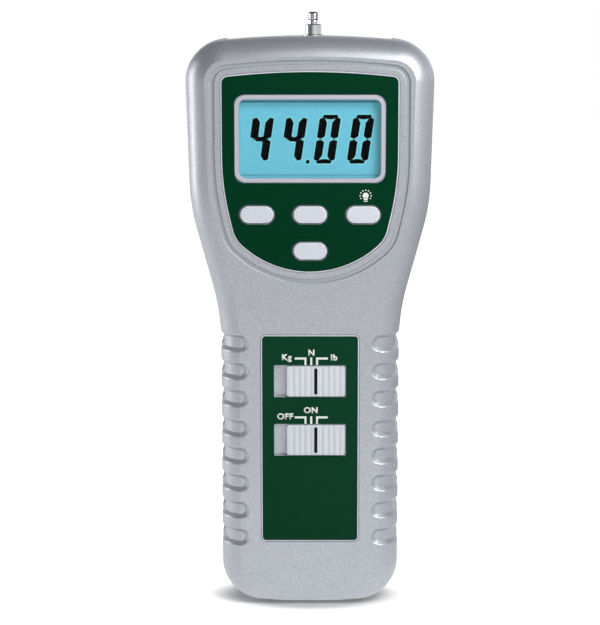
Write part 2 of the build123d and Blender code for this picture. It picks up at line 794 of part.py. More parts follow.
# ---------------------------------------------------------------- slide switches and their knobs
stem_back_y = slot_floor_y + knob_stem_length
switch_front_y = board_front_y - switch_depth
slider_back_y = switch_front_y + 1.5
slider_front_y = switch_front_y - slider_reach
for name, height in switch_places.items():
    with BuildPart() as knob:
        with BuildSketch(face_at(slot_floor_y)):
            with Locations((knob_step, height)):
                RectangleRounded(knob_width, knob_height, knob_corner)
        extrude(amount=slot_floor_y - knob_front_y)
        fillet(knob.faces().sort_by(Axis.Y)[0].edges(), knob_edge)
        # thumb ribs: shallow scallops on both sides of the index slot
        with BuildSketch(Plane.XY.offset(height - knob_height / 2)):
            ribs = [i * rib_pitch for i in range(-ribs_each_side, ribs_each_side + 1) if i]
            with Locations(*[(knob_step + x, knob_front_y - rib_cutter + rib_depth) for x in ribs]):
                Circle(rib_cutter)
            with Locations((knob_step, knob_front_y)):
                Rectangle(index_width, 2 * index_depth)
        extrude(amount=knob_height, mode=Mode.SUBTRACT)
        # stem through the slot, with two barbs that hook behind the front wall
        with BuildSketch(face_at(stem_back_y)):
            with Locations((knob_step, height)):
                Rectangle(knob_stem_width, knob_stem_height)
        extrude(amount=knob_stem_length)
        with BuildSketch(face_at(inside_front_y + slide_play + knob_barb_height)):
            with Locations((knob_step, height)):
                Rectangle(knob_stem_width / 2, knob_stem_height + 2 * knob_barb)
        extrude(amount=knob_barb_height)
        with BuildSketch(face_at(stem_back_y)):
            with Locations((knob_step, height)):
                Rectangle(slider_width + 2 * plunger_play, slider_height + 2 * plunger_play)
        extrude(amount=stem_back_y - slider_front_y + plunger_play, mode=Mode.SUBTRACT)
    finish(knob, f"{name}_knob")

    with BuildPart() as slider:
        with BuildSketch(face_at(slider_back_y)):
            with Locations((knob_step, height)):
                Rectangle(slider_width, slider_height)
        extrude(amount=slider_back_y - slider_front_y)
    finish(slider, f"{name}_slider")

with BuildPart() as slide_switches:
    with BuildSketch(face_at(board_front_y)):
        with Locations(*[(0, z) for z in switch_places.values()]):
            Rectangle(switch_width, switch_height)
    extrude(amount=switch_depth)
    with BuildSketch(face_at(slider_back_y + slide_play)):
        with Locations(*[(0, z) for z in switch_places.values()]):
            Rectangle(slider_width + knob_sweep + 2 * slide_play, slider_height + 2 * slide_play)
    extrude(amount=switch_depth, mode=Mode.SUBTRACT)
finish(slide_switches, "slide_switches")

# ---------------------------------------------------------------- circuit board
board_edge = [
    (board_neck_half, board_foot),
    (board_neck_half, board_waist_z),
    (board_head_half, board_waist_z),
    (board_head_half, board_top_z),
]
with BuildPart() as circuit_board:
    with BuildSketch(face_at(board_back_y)):
        with BuildLine():
            FilletPolyline(
                *board_edge, *[(-x, z) for x, z in reversed(board_edge)], radius=board_corner, close=True
            )
        make_face()
        with Locations(*board_screw_places):
            Circle(board_screw_radius + fit_gap, mode=Mode.SUBTRACT)
    extrude(amount=board_thickness)
finish(circuit_board, "circuit_board")

with BuildPart() as board_screws:
    with BuildSketch(face_at(board_back_y)):
        with Locations(*board_screw_places):
            Circle(board_screw_radius)
    extrude(amount=board_screw_length)
    with BuildSketch(face_at(board_back_y)):
        with Locations(*board_screw_places):
            Circle(board_screw_head)
    extrude(amount=-board_screw_head_height)
finish(board_screws, "board_screws")

with BuildPart() as board_chips:
    with BuildSketch(face_at(board_back_y)):
        with Locations((0, waist_z + processor_rise)):
            Rectangle(processor_side, processor_side)
        with Locations((-amplifier_offset, waist_z - amplifier_drop), (amplifier_offset, waist_z - amplifier_drop)):
            Rectangle(amplifier_width, amplifier_length)
    extrude(amount=-chip_height)
finish(board_chips, "board_chips")

# ---------------------------------------------------------------- jacks in the foot
jack_y = board_back_y + jack_body_depth / 2
nose_floor = wall + jack_foot_gap
for name, x, bore, depth in (
    ("signal_jack", jack_offset, signal_bore, signal_bore_depth),
    ("dc_jack", -jack_offset, dc_bore, dc_bore_depth),
):
    with BuildPart() as jack:
        with BuildSketch(Plane.XY.offset(nose_floor)):
            with Locations((x, jack_y)):
                Rectangle(jack_width, jack_body_depth)
        extrude(amount=jack_length)
        with BuildSketch(Plane.XY.offset(jack_recess)):
            with Locations((x, jack_y)):
                Circle(jack_nose_radius)
        extrude(amount=nose_floor - jack_recess)
        with BuildSketch(Plane.XY.offset(jack_recess)):
            with Locations((x, jack_y)):
                Circle(bore)
        extrude(amount=depth, mode=Mode.SUBTRACT)
        if bore > 2 * dc_pin:
            with BuildSketch(Plane.XY.offset(jack_recess + 1)):
                with Locations((x, jack_y)):
                    Circle(dc_pin)
            extrude(amount=depth)
    finish(jack, name)

# ---------------------------------------------------------------- load path: chassis, block, load cell, shaft
with BuildPart() as chassis_plate:
    with BuildSketch(face_at(chassis_back_y)):
        with Locations((0, chassis_z)):
            RectangleRounded(chassis_width, chassis_height, chassis_corner)
        with Locations(*chassis_screw_places):
            Circle(board_screw_radius + fit_gap, mode=Mode.SUBTRACT)
        with Locations(*stand_places):
            Circle(stand_bush_radius - bush_step + fit_gap, mode=Mode.SUBTRACT)
        with Locations(*block_screw_places):
            Circle(screw_radius + fit_gap, mode=Mode.SUBTRACT)
    extrude(amount=chassis_thickness)
finish(chassis_plate, "chassis_plate")

with BuildPart() as chassis_screws:
    with BuildSketch(face_at(chassis_front_y)):
        with Locations(*chassis_screw_places):
            Circle(board_screw_radius)
    extrude(amount=-(board_screw_length - 0.2))
    with BuildSketch(face_at(chassis_front_y)):
        with Locations(*chassis_screw_places):
            Circle(board_screw_head)
    extrude(amount=board_screw_head_height)
finish(chassis_screws, "chassis_screws")

with BuildPart() as stand_bushes:
    with BuildSketch(face_at(back_y - bush_sunk)):
        with Locations(*stand_places):
            Circle(stand_bush_radius)
    extrude(amount=back_y - bush_sunk - chassis_back_y)
    with BuildSketch(face_at(chassis_back_y)):
        with Locations(*stand_places):
            Circle(stand_bush_radius - bush_step)
    extrude(amount=chassis_thickness)
    with BuildSketch(face_at(back_y)):
        with Locations(*stand_places):
            Circle(stand_bore_radius)
    extrude(amount=back_y - chassis_front_y, mode=Mode.SUBTRACT)
finish(stand_bushes, "stand_bushes")

with BuildPart() as load_block:
    with BuildSketch(face_at(chassis_front_y)):
        with Locations((beam_left_x + block_width / 2, beam_mid_z)):
            Rectangle(block_width, beam_height)
    extrude(amount=chassis_front_y - beam_back_y)
    with BuildSketch(face_at(chassis_front_y)):
        with Locations(*block_screw_places):
            Circle(screw_radius + fit_gap)
    extrude(amount=chassis_front_y - beam_back_y, mode=Mode.SUBTRACT)
finish(load_block, "load_block")

with BuildPart() as load_cell:
    with BuildSketch(face_at(beam_back_y)):
        with Locations(((beam_left_x + beam_right_x) / 2, beam_mid_z)):
            Rectangle(beam_right_x - beam_left_x, beam_height)
        with Locations((flexure_x - flexure_spacing / 2, beam_mid_z), (flexure_x + flexure_spacing / 2, beam_mid_z)):
            Circle(flexure_radius, mode=Mode.SUBTRACT)
        with Locations((flexure_x, beam_mid_z)):
            Rectangle(flexure_spacing, flexure_slot, mode=Mode.SUBTRACT)
        with Locations(*block_screw_places):
            Circle(screw_radius + fit_gap, mode=Mode.SUBTRACT)
    extrude(amount=beam_depth)
    with BuildSketch(Plane.XY.offset(beam_top_z)):
        with Locations((shaft_x, shaft_y)):
            Circle(stud_radius + fit_gap)
    extrude(amount=-beam_height, mode=Mode.SUBTRACT)
finish(load_cell, "load_cell")

with BuildPart() as load_cell_screws:
    with BuildSketch(face_at(beam_front_y)):
        with Locations(*block_screw_places):
            Circle(screw_head_radius)
    extrude(amount=screw_head_height)
    with BuildSketch(face_at(beam_front_y)):
        with Locations(*block_screw_places):
            Circle(screw_radius)
    extrude(amount=-(chassis_back_y - beam_front_y))
finish(load_cell_screws, "load_cell_screws")

stud_foot_z = beam_top_z - beam_height - nut_height - stud_show
collar_z = crown_z + shaft_collar_top
neck_z = collar_z + undercut_length
tip_z = neck_z + tip_length
with BuildPart() as sensing_shaft:
    with BuildSketch(Plane.XZ.offset(-shaft_y)):
        with BuildLine():
            Polyline(
                (shaft_x, stud_foot_z),
                (shaft_x + stud_radius, stud_foot_z),
                (shaft_x + stud_radius, beam_top_z),
                (shaft_x + shaft_radius, beam_top_z),
                (shaft_x + shaft_radius, collar_z),
                (shaft_x + undercut_radius, collar_z),
                (shaft_x + undercut_radius, neck_z),
                (shaft_x + tip_radius, neck_z),
                (shaft_x + tip_radius, tip_z - tip_chamfer),
                (shaft_x + tip_radius - tip_chamfer, tip_z),
                (shaft_x, tip_z),
                close=True,
            )
        make_face()
    revolve(axis=Axis((shaft_x, shaft_y, 0), (0, 0, 1)))
finish(sensing_shaft, "sensing_shaft")

with BuildPart() as shaft_nut:
    with BuildSketch(Plane.XY.offset(beam_top_z - beam_height)):
        with Locations((shaft_x, shaft_y)):
            RegularPolygon(nut_width / 2, 6, major_radius=False)
            Circle(stud_radius + fit_gap, mode=Mode.SUBTRACT)
    extrude(amount=-nut_height)
finish(shaft_nut, "shaft_nut")

bush_foot_z = front_crown_z - wall - fit_gap - bush_collar
with BuildPart() as shaft_bush:
    with BuildSketch(Plane.XY.offset(bush_foot_z)):
        with Locations((shaft_x, shaft_y)):
            Circle(bush_collar_radius)
    extrude(amount=bush_collar)
    with BuildSketch(Plane.XY.offset(bush_foot_z)):
        with Locations((shaft_x, shaft_y)):
            Circle(bush_radius)
    extrude(amount=front_crown_z - bush_foot_z)
    with BuildSketch(Plane.XY.offset(front_crown_z)):
        with Locations((shaft_x, shaft_y)):
            Circle(bush_flange_radius)
    extrude(amount=bush_flange)
    with BuildSketch(Plane.XY.offset(bush_foot_z)):
        with Locations((shaft_x, shaft_y)):
            Circle(shaft_radius + bush_play)
    extrude(amount=wall + bush_collar + 2 * bush_flange, mode=Mode.SUBTRACT)
finish(shaft_bush, "shaft_bush")

# ---------------------------------------------------------------- battery compartment
with BuildPart() as battery_tray:
    with BuildSketch(face_at(tray_back_y)):
        with Locations((0, compartment_z)):
            Rectangle(compartment_width + 2 * tray_wall, compartment_length + 2 * tray_wall)
    extrude(amount=tray_back_y - tray_floor_y + tray_wall)
    with BuildSketch(face_at(tray_back_y)):
        with Locations((0, compartment_z)):
            Rectangle(compartment_width, compartment_length)
    extrude(amount=tray_back_y - tray_floor_y, mode=Mode.SUBTRACT)
finish(battery_tray, "battery_tray")

columns = [(i - (cell_columns - 1) / 2) * cell_pitch for i in range(cell_columns)]
lower_cell_z = compartment_foot + cell_end_gap
upper_cell_z = lower_cell_z + cell_length + cell_middle_gap
with BuildPart() as battery_cells:
    # the middle column stands the other way up
    for foot_z in (lower_cell_z, upper_cell_z):
        for x in columns:
            with BuildSketch(Plane.XY.offset(foot_z if x else foot_z + cell_nub)):
                with Locations((x, cell_y)):
                    Circle(cell_radius)
            extrude(amount=cell_length - cell_nub)
            with BuildSketch(Plane.XY.offset(foot_z)):
                with Locations((x, cell_y)):
                    Circle(cell_nub_radius)
            extrude(amount=cell_length)
finish(battery_cells, "battery_cells")

with BuildPart() as battery_contacts:
    gaps = (
        (compartment_foot, cell_end_gap),
        (lower_cell_z + cell_length, cell_middle_gap),
        (upper_cell_z + cell_length, cell_end_gap),
    )
    for foot_z, gap in gaps:
        with BuildSketch(Plane.XY.offset(foot_z + (gap - contact_thickness) / 2)):
            with Locations(*[(x, cell_y) for x in columns]):
                Rectangle(contact_width, contact_width)
        extrude(amount=contact_thickness)
        with BuildSketch(Plane.XY.offset(foot_z)):
            with Locations(*[(x, cell_y) for x in columns]):
                Circle(contact_stub_radius)
        extrude(amount=gap)
finish(battery_contacts, "battery_contacts")

cover_screw_cone = countersink_radius - screw_radius
with BuildPart() as battery_cover:
    with BuildSketch(face_at(back_y)):
        with Locations((0, compartment_z)):
            RectangleRounded(cover_width, cover_length, cover_corner)
    extrude(amount=cover_thickness)
    # countersinks for the two flat-head screws
    with BuildSketch(face_at(back_y)):
        with Locations(*cover_screw_places):
            Circle(screw_radius + fit_gap)
    extrude(amount=cover_thickness, mode=Mode.SUBTRACT)
    with BuildSketch(face_at(back_y)):
        with Locations(*cover_screw_places):
            Circle(countersink_radius)
    extrude(amount=cover_screw_cone, taper=45, mode=Mode.SUBTRACT)
finish(battery_cover, "battery_cover")

with BuildPart() as cover_screws:
    with BuildSketch(face_at(back_y)):
        with Locations(*cover_screw_places):
            Circle(countersink_radius - fit_gap)
    extrude(amount=cover_screw_cone, taper=45)
    with BuildSketch(face_at(back_y)):
        with Locations(*cover_screw_places):
            Circle(screw_radius)
    extrude(amount=cover_screw_length)
finish(cover_screws, "cover_screws")
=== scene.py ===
import json
from math import cos, hypot, pi, radians, sin, tan

import bmesh
import bpy
from mathutils import Matrix, Vector

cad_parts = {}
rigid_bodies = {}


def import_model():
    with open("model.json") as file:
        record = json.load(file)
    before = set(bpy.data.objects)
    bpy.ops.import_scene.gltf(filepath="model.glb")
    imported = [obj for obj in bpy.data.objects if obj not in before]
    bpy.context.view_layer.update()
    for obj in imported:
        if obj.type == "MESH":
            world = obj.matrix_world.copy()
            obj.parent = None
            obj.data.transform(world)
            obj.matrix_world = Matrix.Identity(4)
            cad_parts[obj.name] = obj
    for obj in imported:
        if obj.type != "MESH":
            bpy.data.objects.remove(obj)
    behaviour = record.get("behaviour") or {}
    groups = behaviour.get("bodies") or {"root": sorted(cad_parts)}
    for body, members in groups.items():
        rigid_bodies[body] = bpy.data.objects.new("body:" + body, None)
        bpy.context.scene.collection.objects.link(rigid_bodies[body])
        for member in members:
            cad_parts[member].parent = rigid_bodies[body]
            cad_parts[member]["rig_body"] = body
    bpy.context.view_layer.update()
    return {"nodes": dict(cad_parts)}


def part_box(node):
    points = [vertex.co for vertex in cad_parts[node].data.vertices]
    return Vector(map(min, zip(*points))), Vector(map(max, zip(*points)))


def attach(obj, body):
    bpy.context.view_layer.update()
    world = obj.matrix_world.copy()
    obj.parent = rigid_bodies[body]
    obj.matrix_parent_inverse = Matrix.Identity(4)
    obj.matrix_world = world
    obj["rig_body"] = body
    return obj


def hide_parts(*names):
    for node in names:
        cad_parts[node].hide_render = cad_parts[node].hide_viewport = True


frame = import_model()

nodes = frame["nodes"]
mm = 0.001

# ---- Camera, floor and light -------------------------------------------------------------------
# A long lens looks down at the gauge by nine degrees from two thirds of a metre away. It stands on
# pale paper between four soft boxes, in a room that is dark overhead and has a dark flag at the left.
camera_distance = 661.9 * mm
camera_height = 214.2 * mm
camera_dip = radians(9.2)
lens_length = 103.6
frame_shift = -0.016

lens = bpy.data.cameras.new("lens")
lens.lens = lens_length
lens.shift_x = frame_shift
camera = bpy.data.objects.new("camera", lens)
camera.location = (0, -camera_distance, camera_height)
camera.rotation_euler = (pi / 2 - camera_dip, 0, 0)
bpy.context.collection.objects.link(camera)
scene = bpy.context.scene
scene.camera = camera
scene.view_settings.view_transform = "Standard"


def added(tree, kind, inputs=(), **settings):
    """Adds a shader node, sets its settings and then the values of its inputs."""
    node = tree.nodes.new(f"ShaderNode{kind}")
    for name, value in settings.items():
        setattr(node, name, value)
    for socket, value in dict(inputs).items():
        node.inputs[socket].default_value = value
    return node


def soft_box(name, power, width, height, place, target, colour=(1, 1, 1)):
    """A rectangular studio lamp at a place, turned to face a target."""
    lamp = bpy.data.lights.new(name, "AREA")
    lamp.shape = "RECTANGLE"
    lamp.size = width
    lamp.size_y = height
    lamp.energy = power
    lamp.color = colour
    stand = bpy.data.objects.new(name, lamp)
    stand.location = place
    stand.rotation_euler = (Vector(place) - Vector(target)).to_track_quat("Z", "Y").to_euler()
    bpy.context.collection.objects.link(stand)


soft_box("key_box", power=1.7, width=0.18, height=0.30, place=(0.30, -0.30, 0.38), target=(0, 0, 0.16))
soft_box("crown_box", power=1.35, width=0.16, height=0.16, place=(0.20, -0.43, 0.61), target=(0.03, 0, 0.20))
soft_box(
    "left_strip", power=5.0, width=0.25, height=1.0, place=(-0.95, 0.22, 0.10), target=(0, 0, 0.11),
    colour=(0.97, 0.98, 1.0),
)
soft_box("back_box", power=0.6, width=0.9, height=0.5, place=(0.25, 0.75, 0.55), target=(0, 0, 0.11))

room = bpy.data.worlds.new("room")
scene.world = room
room.use_nodes = True
room_tree = room.node_tree
room_tree.nodes.clear()
link = room_tree.links.new
room_rays = added(room_tree, "LightPath")
room_place = added(room_tree, "TexCoord")
room_axes = added(room_tree, "SeparateXYZ")
# pale low down and dark overhead
room_height = added(room_tree, "ValToRGB")
room_height.color_ramp.elements[0].position = 0.10
room_height.color_ramp.elements[0].color = (1, 1, 1, 1)
room_height.color_ramp.elements[1].position = 0.60
room_height.color_ramp.elements[1].color = (0.08, 0.08, 0.09, 1)
# round the gauge a bright wall, by degrees to the right of its front, with the flag at the left
wall_tone = {-115: 1.0, -88: 0.80, -66: 0.24, -32: 0.14, -8: 0.55, 12: 0.90, 36: 0.90, 60: 0.75, 100: 0.75}
room_back = added(room_tree, "Math", {1: -1.0}, operation="MULTIPLY")
room_round = added(room_tree, "Math", operation="ARCTAN2")
room_turn = added(room_tree, "MapRange", {"From Min": -pi, "From Max": pi})
room_walls = added(room_tree, "ValToRGB")
walls = room_walls.color_ramp.elements
for degrees_right, grey in wall_tone.items():
    stop = walls.new((degrees_right + 180) / 360)
    stop.color = (0.97 * grey, 0.98 * grey, grey, 1)
walls[0].color = walls[-1].color = (0.97, 0.98, 1, 1)
room_colour = added(room_tree, "Mix", {"Factor": 1.0}, data_type="RGBA", blend_type="MULTIPLY")
room_light = added(room_tree, "Background", {"Strength": 0.85})
# seen directly or through the window it is white, and mirrored it keeps its walls
sweep_colour = added(room_tree, "Mix", {"A": (1, 1, 1, 1)}, data_type="RGBA")
white_sweep = added(room_tree, "Background")
room_seen = added(room_tree, "Math", operation="MAXIMUM")
room_clear = added(room_tree, "Math", operation="MAXIMUM")
room_mix = added(room_tree, "MixShader")
room_out = added(room_tree, "OutputWorld")
link(room_place.outputs["Generated"], room_axes.inputs["Vector"])
link(room_axes.outputs["Z"], room_height.inputs["Fac"])
link(room_axes.outputs["Y"], room_back.inputs[0])
link(room_axes.outputs["X"], room_round.inputs[0])
link(room_back.outputs["Value"], room_round.inputs[1])
link(room_round.outputs["Value"], room_turn.inputs["Value"])
link(room_turn.outputs["Result"], room_walls.inputs["Fac"])
link(room_height.outputs["Color"], room_colour.inputs["A"])
link(room_walls.outputs["Color"], room_colour.inputs["B"])
link(room_colour.outputs["Result"], room_light.inputs["Color"])
link(room_colour.outputs["Result"], sweep_colour.inputs["B"])
link(room_rays.outputs["Is Glossy Ray"], sweep_colour.inputs["Factor"])
link(sweep_colour.outputs["Result"], white_sweep.inputs["Color"])
link(room_rays.outputs["Is Camera Ray"], room_seen.inputs[0])
link(room_rays.outputs["Is Glossy Ray"], room_seen.inputs[1])
link(room_seen.outputs["Value"], room_clear.inputs[0])
link(room_rays.outputs["Is Transmission Ray"], room_clear.inputs[1])
link(room_clear.outputs["Value"], room_mix.inputs["Fac"])
link(room_light.outputs["Background"], room_mix.inputs[1])
link(white_sweep.outputs["Background"], room_mix.inputs[2])
link(room_mix.outputs["Shader"], room_out.inputs["Surface"])

floor_half = 3.0
floor_form = bmesh.new()
bmesh.ops.create_grid(floor_form, x_segments=1, y_segments=1, size=floor_half)
floor_mesh = bpy.data.meshes.new("floor")
floor_form.to_mesh(floor_mesh)
floor_form.free()
floor = bpy.data.objects.new("floor", floor_mesh)
bpy.context.collection.objects.link(floor)

# the paper shows the gauge's shadow close round the foot and fades to plain white beyond an oval, so
# that no horizon shows
shadow_reach = (44 * mm, 24.5 * mm, 1.0)
shadow_forward = 6 * mm
floor_paper = bpy.data.materials.new("floor_paper")
floor_paper.use_nodes = True
paper_tree = floor_paper.node_tree
link = paper_tree.links.new
paper_shader = paper_tree.nodes["Principled BSDF"]
paper_shader.inputs["Base Color"].default_value = (0.66, 0.66, 0.66, 1)
paper_shader.inputs["Roughness"].default_value = 0.9
paper_shader.inputs["Specular IOR Level"].default_value = 0.1
paper_shader.inputs["Emission Color"].default_value = (1, 1, 1, 1)
paper_rays = added(paper_tree, "LightPath")
paper_place = added(paper_tree, "TexCoord")
paper_shift = added(paper_tree, "VectorMath", {1: (0, shadow_forward, 0)}, operation="ADD")
paper_oval = added(paper_tree, "VectorMath", {1: shadow_reach}, operation="DIVIDE")
paper_reach = added(paper_tree, "VectorMath", operation="LENGTH")
paper_fade = added(paper_tree, "MapRange", {"From Min": 0.55}, interpolation_type="SMOOTHSTEP")
paper_seen = added(paper_tree, "Math", operation="MAXIMUM")
paper_glow = added(paper_tree, "Math", operation="MULTIPLY")
# mirrored in the gauge, the paper is bright up to its foot, and dimmer on the right
paper_axes = added(paper_tree, "SeparateXYZ")
paper_side = added(paper_tree, "MapRange", {"From Min": 0.02, "From Max": 0.16, "To Min": 0.9, "To Max": 0.1})
paper_shine = added(paper_tree, "Math", operation="MULTIPLY")
paper_light = added(paper_tree, "Math", operation="MAXIMUM")
link(paper_place.outputs["Object"], paper_shift.inputs[0])
link(paper_shift.outputs["Vector"], paper_oval.inputs[0])
link(paper_oval.outputs["Vector"], paper_reach.inputs[0])
link(paper_reach.outputs["Value"], paper_fade.inputs["Value"])
link(paper_rays.outputs["Is Camera Ray"], paper_seen.inputs[0])
link(paper_rays.outputs["Is Transmission Ray"], paper_seen.inputs[1])
link(paper_fade.outputs["Result"], paper_glow.inputs[0])
link(paper_seen.outputs["Value"], paper_glow.inputs[1])
link(paper_place.outputs["Object"], paper_axes.inputs["Vector"])
link(paper_axes.outputs["X"], paper_side.inputs["Value"])
link(paper_side.outputs["Result"], paper_shine.inputs[0])
link(paper_rays.outputs["Is Glossy Ray"], paper_shine.inputs[1])
link(paper_glow.outputs["Value"], paper_light.inputs[0])
link(paper_shine.outputs["Value"], paper_light.inputs[1])
link(paper_light.outputs["Value"], paper_shader.inputs["Emission Strength"])
floor_mesh.materials.append(floor_paper)

# ---- Back plate --------------------------------------------------------------------------------
# A milled aluminium plate screwed to pads inside the rear shell. It carries the load cell, and four
# turned brass bushes with M4 threads that come out at the back for a test stand.
weld = 2e-6


def worked_surface():
    """Node group: fine lines left by a tool along one axis, and broad uneven marks."""
    group = bpy.data.node_groups.new("worked_surface", "ShaderNodeTree")
    interface = group.interface
    stretch = interface.new_socket("Line Scale", in_out="INPUT", socket_type="NodeSocketVector")
    stretch.default_value = (300.0, 9000.0, 9000.0)
    for name, value in (("Mark Scale", 60.0), ("Roughness", 0.3), ("Spread", 0.12)):
        interface.new_socket(name, in_out="INPUT", socket_type="NodeSocketFloat").default_value = value
    for name in ("Lines", "Marks", "Roughness"):
        interface.new_socket(name, in_out="OUTPUT", socket_type="NodeSocketFloat")
    given = group.nodes.new("NodeGroupInput")
    result = group.nodes.new("NodeGroupOutput")
    place = added(group, "TexCoord")
    stretched = added(group, "VectorMath", operation="MULTIPLY")
    lines = added(group, "TexNoise", {"Scale": 1.0, "Detail": 3.0})
    marks = added(group, "TexNoise", {"Detail": 3.0})
    both = added(group, "Math", operation="ADD")
    spread = added(group, "Math", operation="MULTIPLY_ADD")
    low = added(group, "Math", operation="SUBTRACT")
    link = group.links.new
    link(place.outputs["Object"], stretched.inputs[0])
    link(given.outputs["Line Scale"], stretched.inputs[1])
    link(stretched.outputs["Vector"], lines.inputs["Vector"])
    link(place.outputs["Object"], marks.inputs["Vector"])
    link(given.outputs["Mark Scale"], marks.inputs["Scale"])
    link(lines.outputs["Fac"], both.inputs[0])
    link(marks.outputs["Fac"], both.inputs[1])
    link(given.outputs["Roughness"], low.inputs[0])
    link(given.outputs["Spread"], low.inputs[1])
    link(both.outputs["Value"], spread.inputs[0])
    link(given.outputs["Spread"], spread.inputs[1])
    link(low.outputs["Value"], spread.inputs[2])
    link(lines.outputs["Fac"], result.inputs["Lines"])
    link(marks.outputs["Fac"], result.inputs["Marks"])
    link(spread.outputs["Value"], result.inputs["Roughness"])
    return group


worked_group = worked_surface()


def surfaced(name, group, values, colour_mask, relief_mask, dark, light, bump, metallic, gloss):
    """A material whose colour, roughness and bump follow the masks that a surface group puts out."""
    material = bpy.data.materials.new(name)
    material.use_nodes = True
    tree = material.node_tree
    link = tree.links.new
    shader = tree.nodes["Principled BSDF"]
    shader.inputs["Metallic"].default_value = metallic
    shader.inputs["Specular IOR Level"].default_value = gloss
    surface = added(tree, "Group", values, node_tree=group)
    tint = added(tree, "Mix", data_type="RGBA")
    tint.inputs["A"].default_value = (*dark, 1)
    tint.inputs["B"].default_value = (*light, 1)
    link(surface.outputs[colour_mask], tint.inputs["Factor"])
    link(tint.outputs["Result"], shader.inputs["Base Color"])
    link(surface.outputs["Roughness"], shader.inputs["Roughness"])
    if bump:
        relief = added(tree, "Bump", {"Distance": bump})
        link(surface.outputs[relief_mask], relief.inputs["Height"])
        link(relief.outputs["Normal"], shader.inputs["Normal"])
    return material


def worked_metal(name, dark, light, roughness, line_scale, bump, spread=0.10):
    """Bare or plated metal with the lines of its last cut."""
    values = {"Line Scale": line_scale, "Mark Scale": 60.0, "Roughness": roughness, "Spread": spread}
    return surfaced(name, worked_group, values, "Marks", "Lines", dark, light, bump, metallic=1.0, gloss=0.5)


def put_on(node, material):
    """Gives a CAD node its finish through its object's material slots."""
    for slot in nodes[node].material_slots:
        slot.material = material


def welded(node):
    """A copy of a CAD node's mesh with its loose triangles joined."""
    form = bmesh.new()
    form.from_mesh(nodes[node].data)
    bmesh.ops.remove_doubles(form, verts=form.verts, dist=weld)
    return form


def solids_of(node):
    """Low and high corners of each separate solid of a node, from left to right and upwards."""
    form = welded(node)
    waiting = set(form.verts)
    boxes = []
    while waiting:
        reached = [waiting.pop()]
        spots = []
        while reached:
            vert = reached.pop()
            spots.append(vert.co.copy())
            for edge in vert.link_edges:
                other = edge.other_vert(vert)
                if other in waiting:
                    waiting.discard(other)
                    reached.append(other)
        low = Vector([min(spot[axis] for spot in spots) for axis in range(3)])
        high = Vector([max(spot[axis] for spot in spots) for axis in range(3)])
        boxes.append((low, high))
    form.free()
    return sorted(boxes, key=lambda box: (round(box[0].x, 5), round(box[0].z, 5)))


def as_piece(name, form, materials, body, replaced=None, sharp=None):
    """Turns a finished bmesh into a piece at the origin that rides on a body."""
    if sharp is not None:
        for face in form.faces:
            face.smooth = True
        for edge in form.edges:
            edge.smooth = len(edge.link_faces) == 2 and edge.calc_face_angle() < radians(sharp)
    mesh = bpy.data.meshes.new(name)
    form.to_mesh(mesh)
    form.free()
    for material in materials:
        mesh.materials.append(material)
    piece = bpy.data.objects.new(name, mesh)
    bpy.context.collection.objects.link(piece)
    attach(piece, body)
    if replaced:
        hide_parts(replaced)
    return piece


def turned_form(form, profile, centre, axis, steps):
    """Spins a profile of (radius, height along the axis) points all the way round an axis."""
    axis = Vector(axis)
    side = axis.orthogonal().normalized()
    verts = [form.verts.new(Vector(centre) + side * radius + axis * height) for radius, height in profile]
    edges = [form.edges.new(pair) for pair in zip(verts, verts[1:])]
    bmesh.ops.spin(
        form, geom=verts + edges, cent=centre, axis=axis, angle=2 * pi, steps=steps, use_merge=True
    )
    bmesh.ops.remove_doubles(form, verts=form.verts, dist=weld)


def made(result, kind):
    """The vertices, edges or faces among what an operator has made."""
    return [item for item in result["geom"] if isinstance(item, kind)]


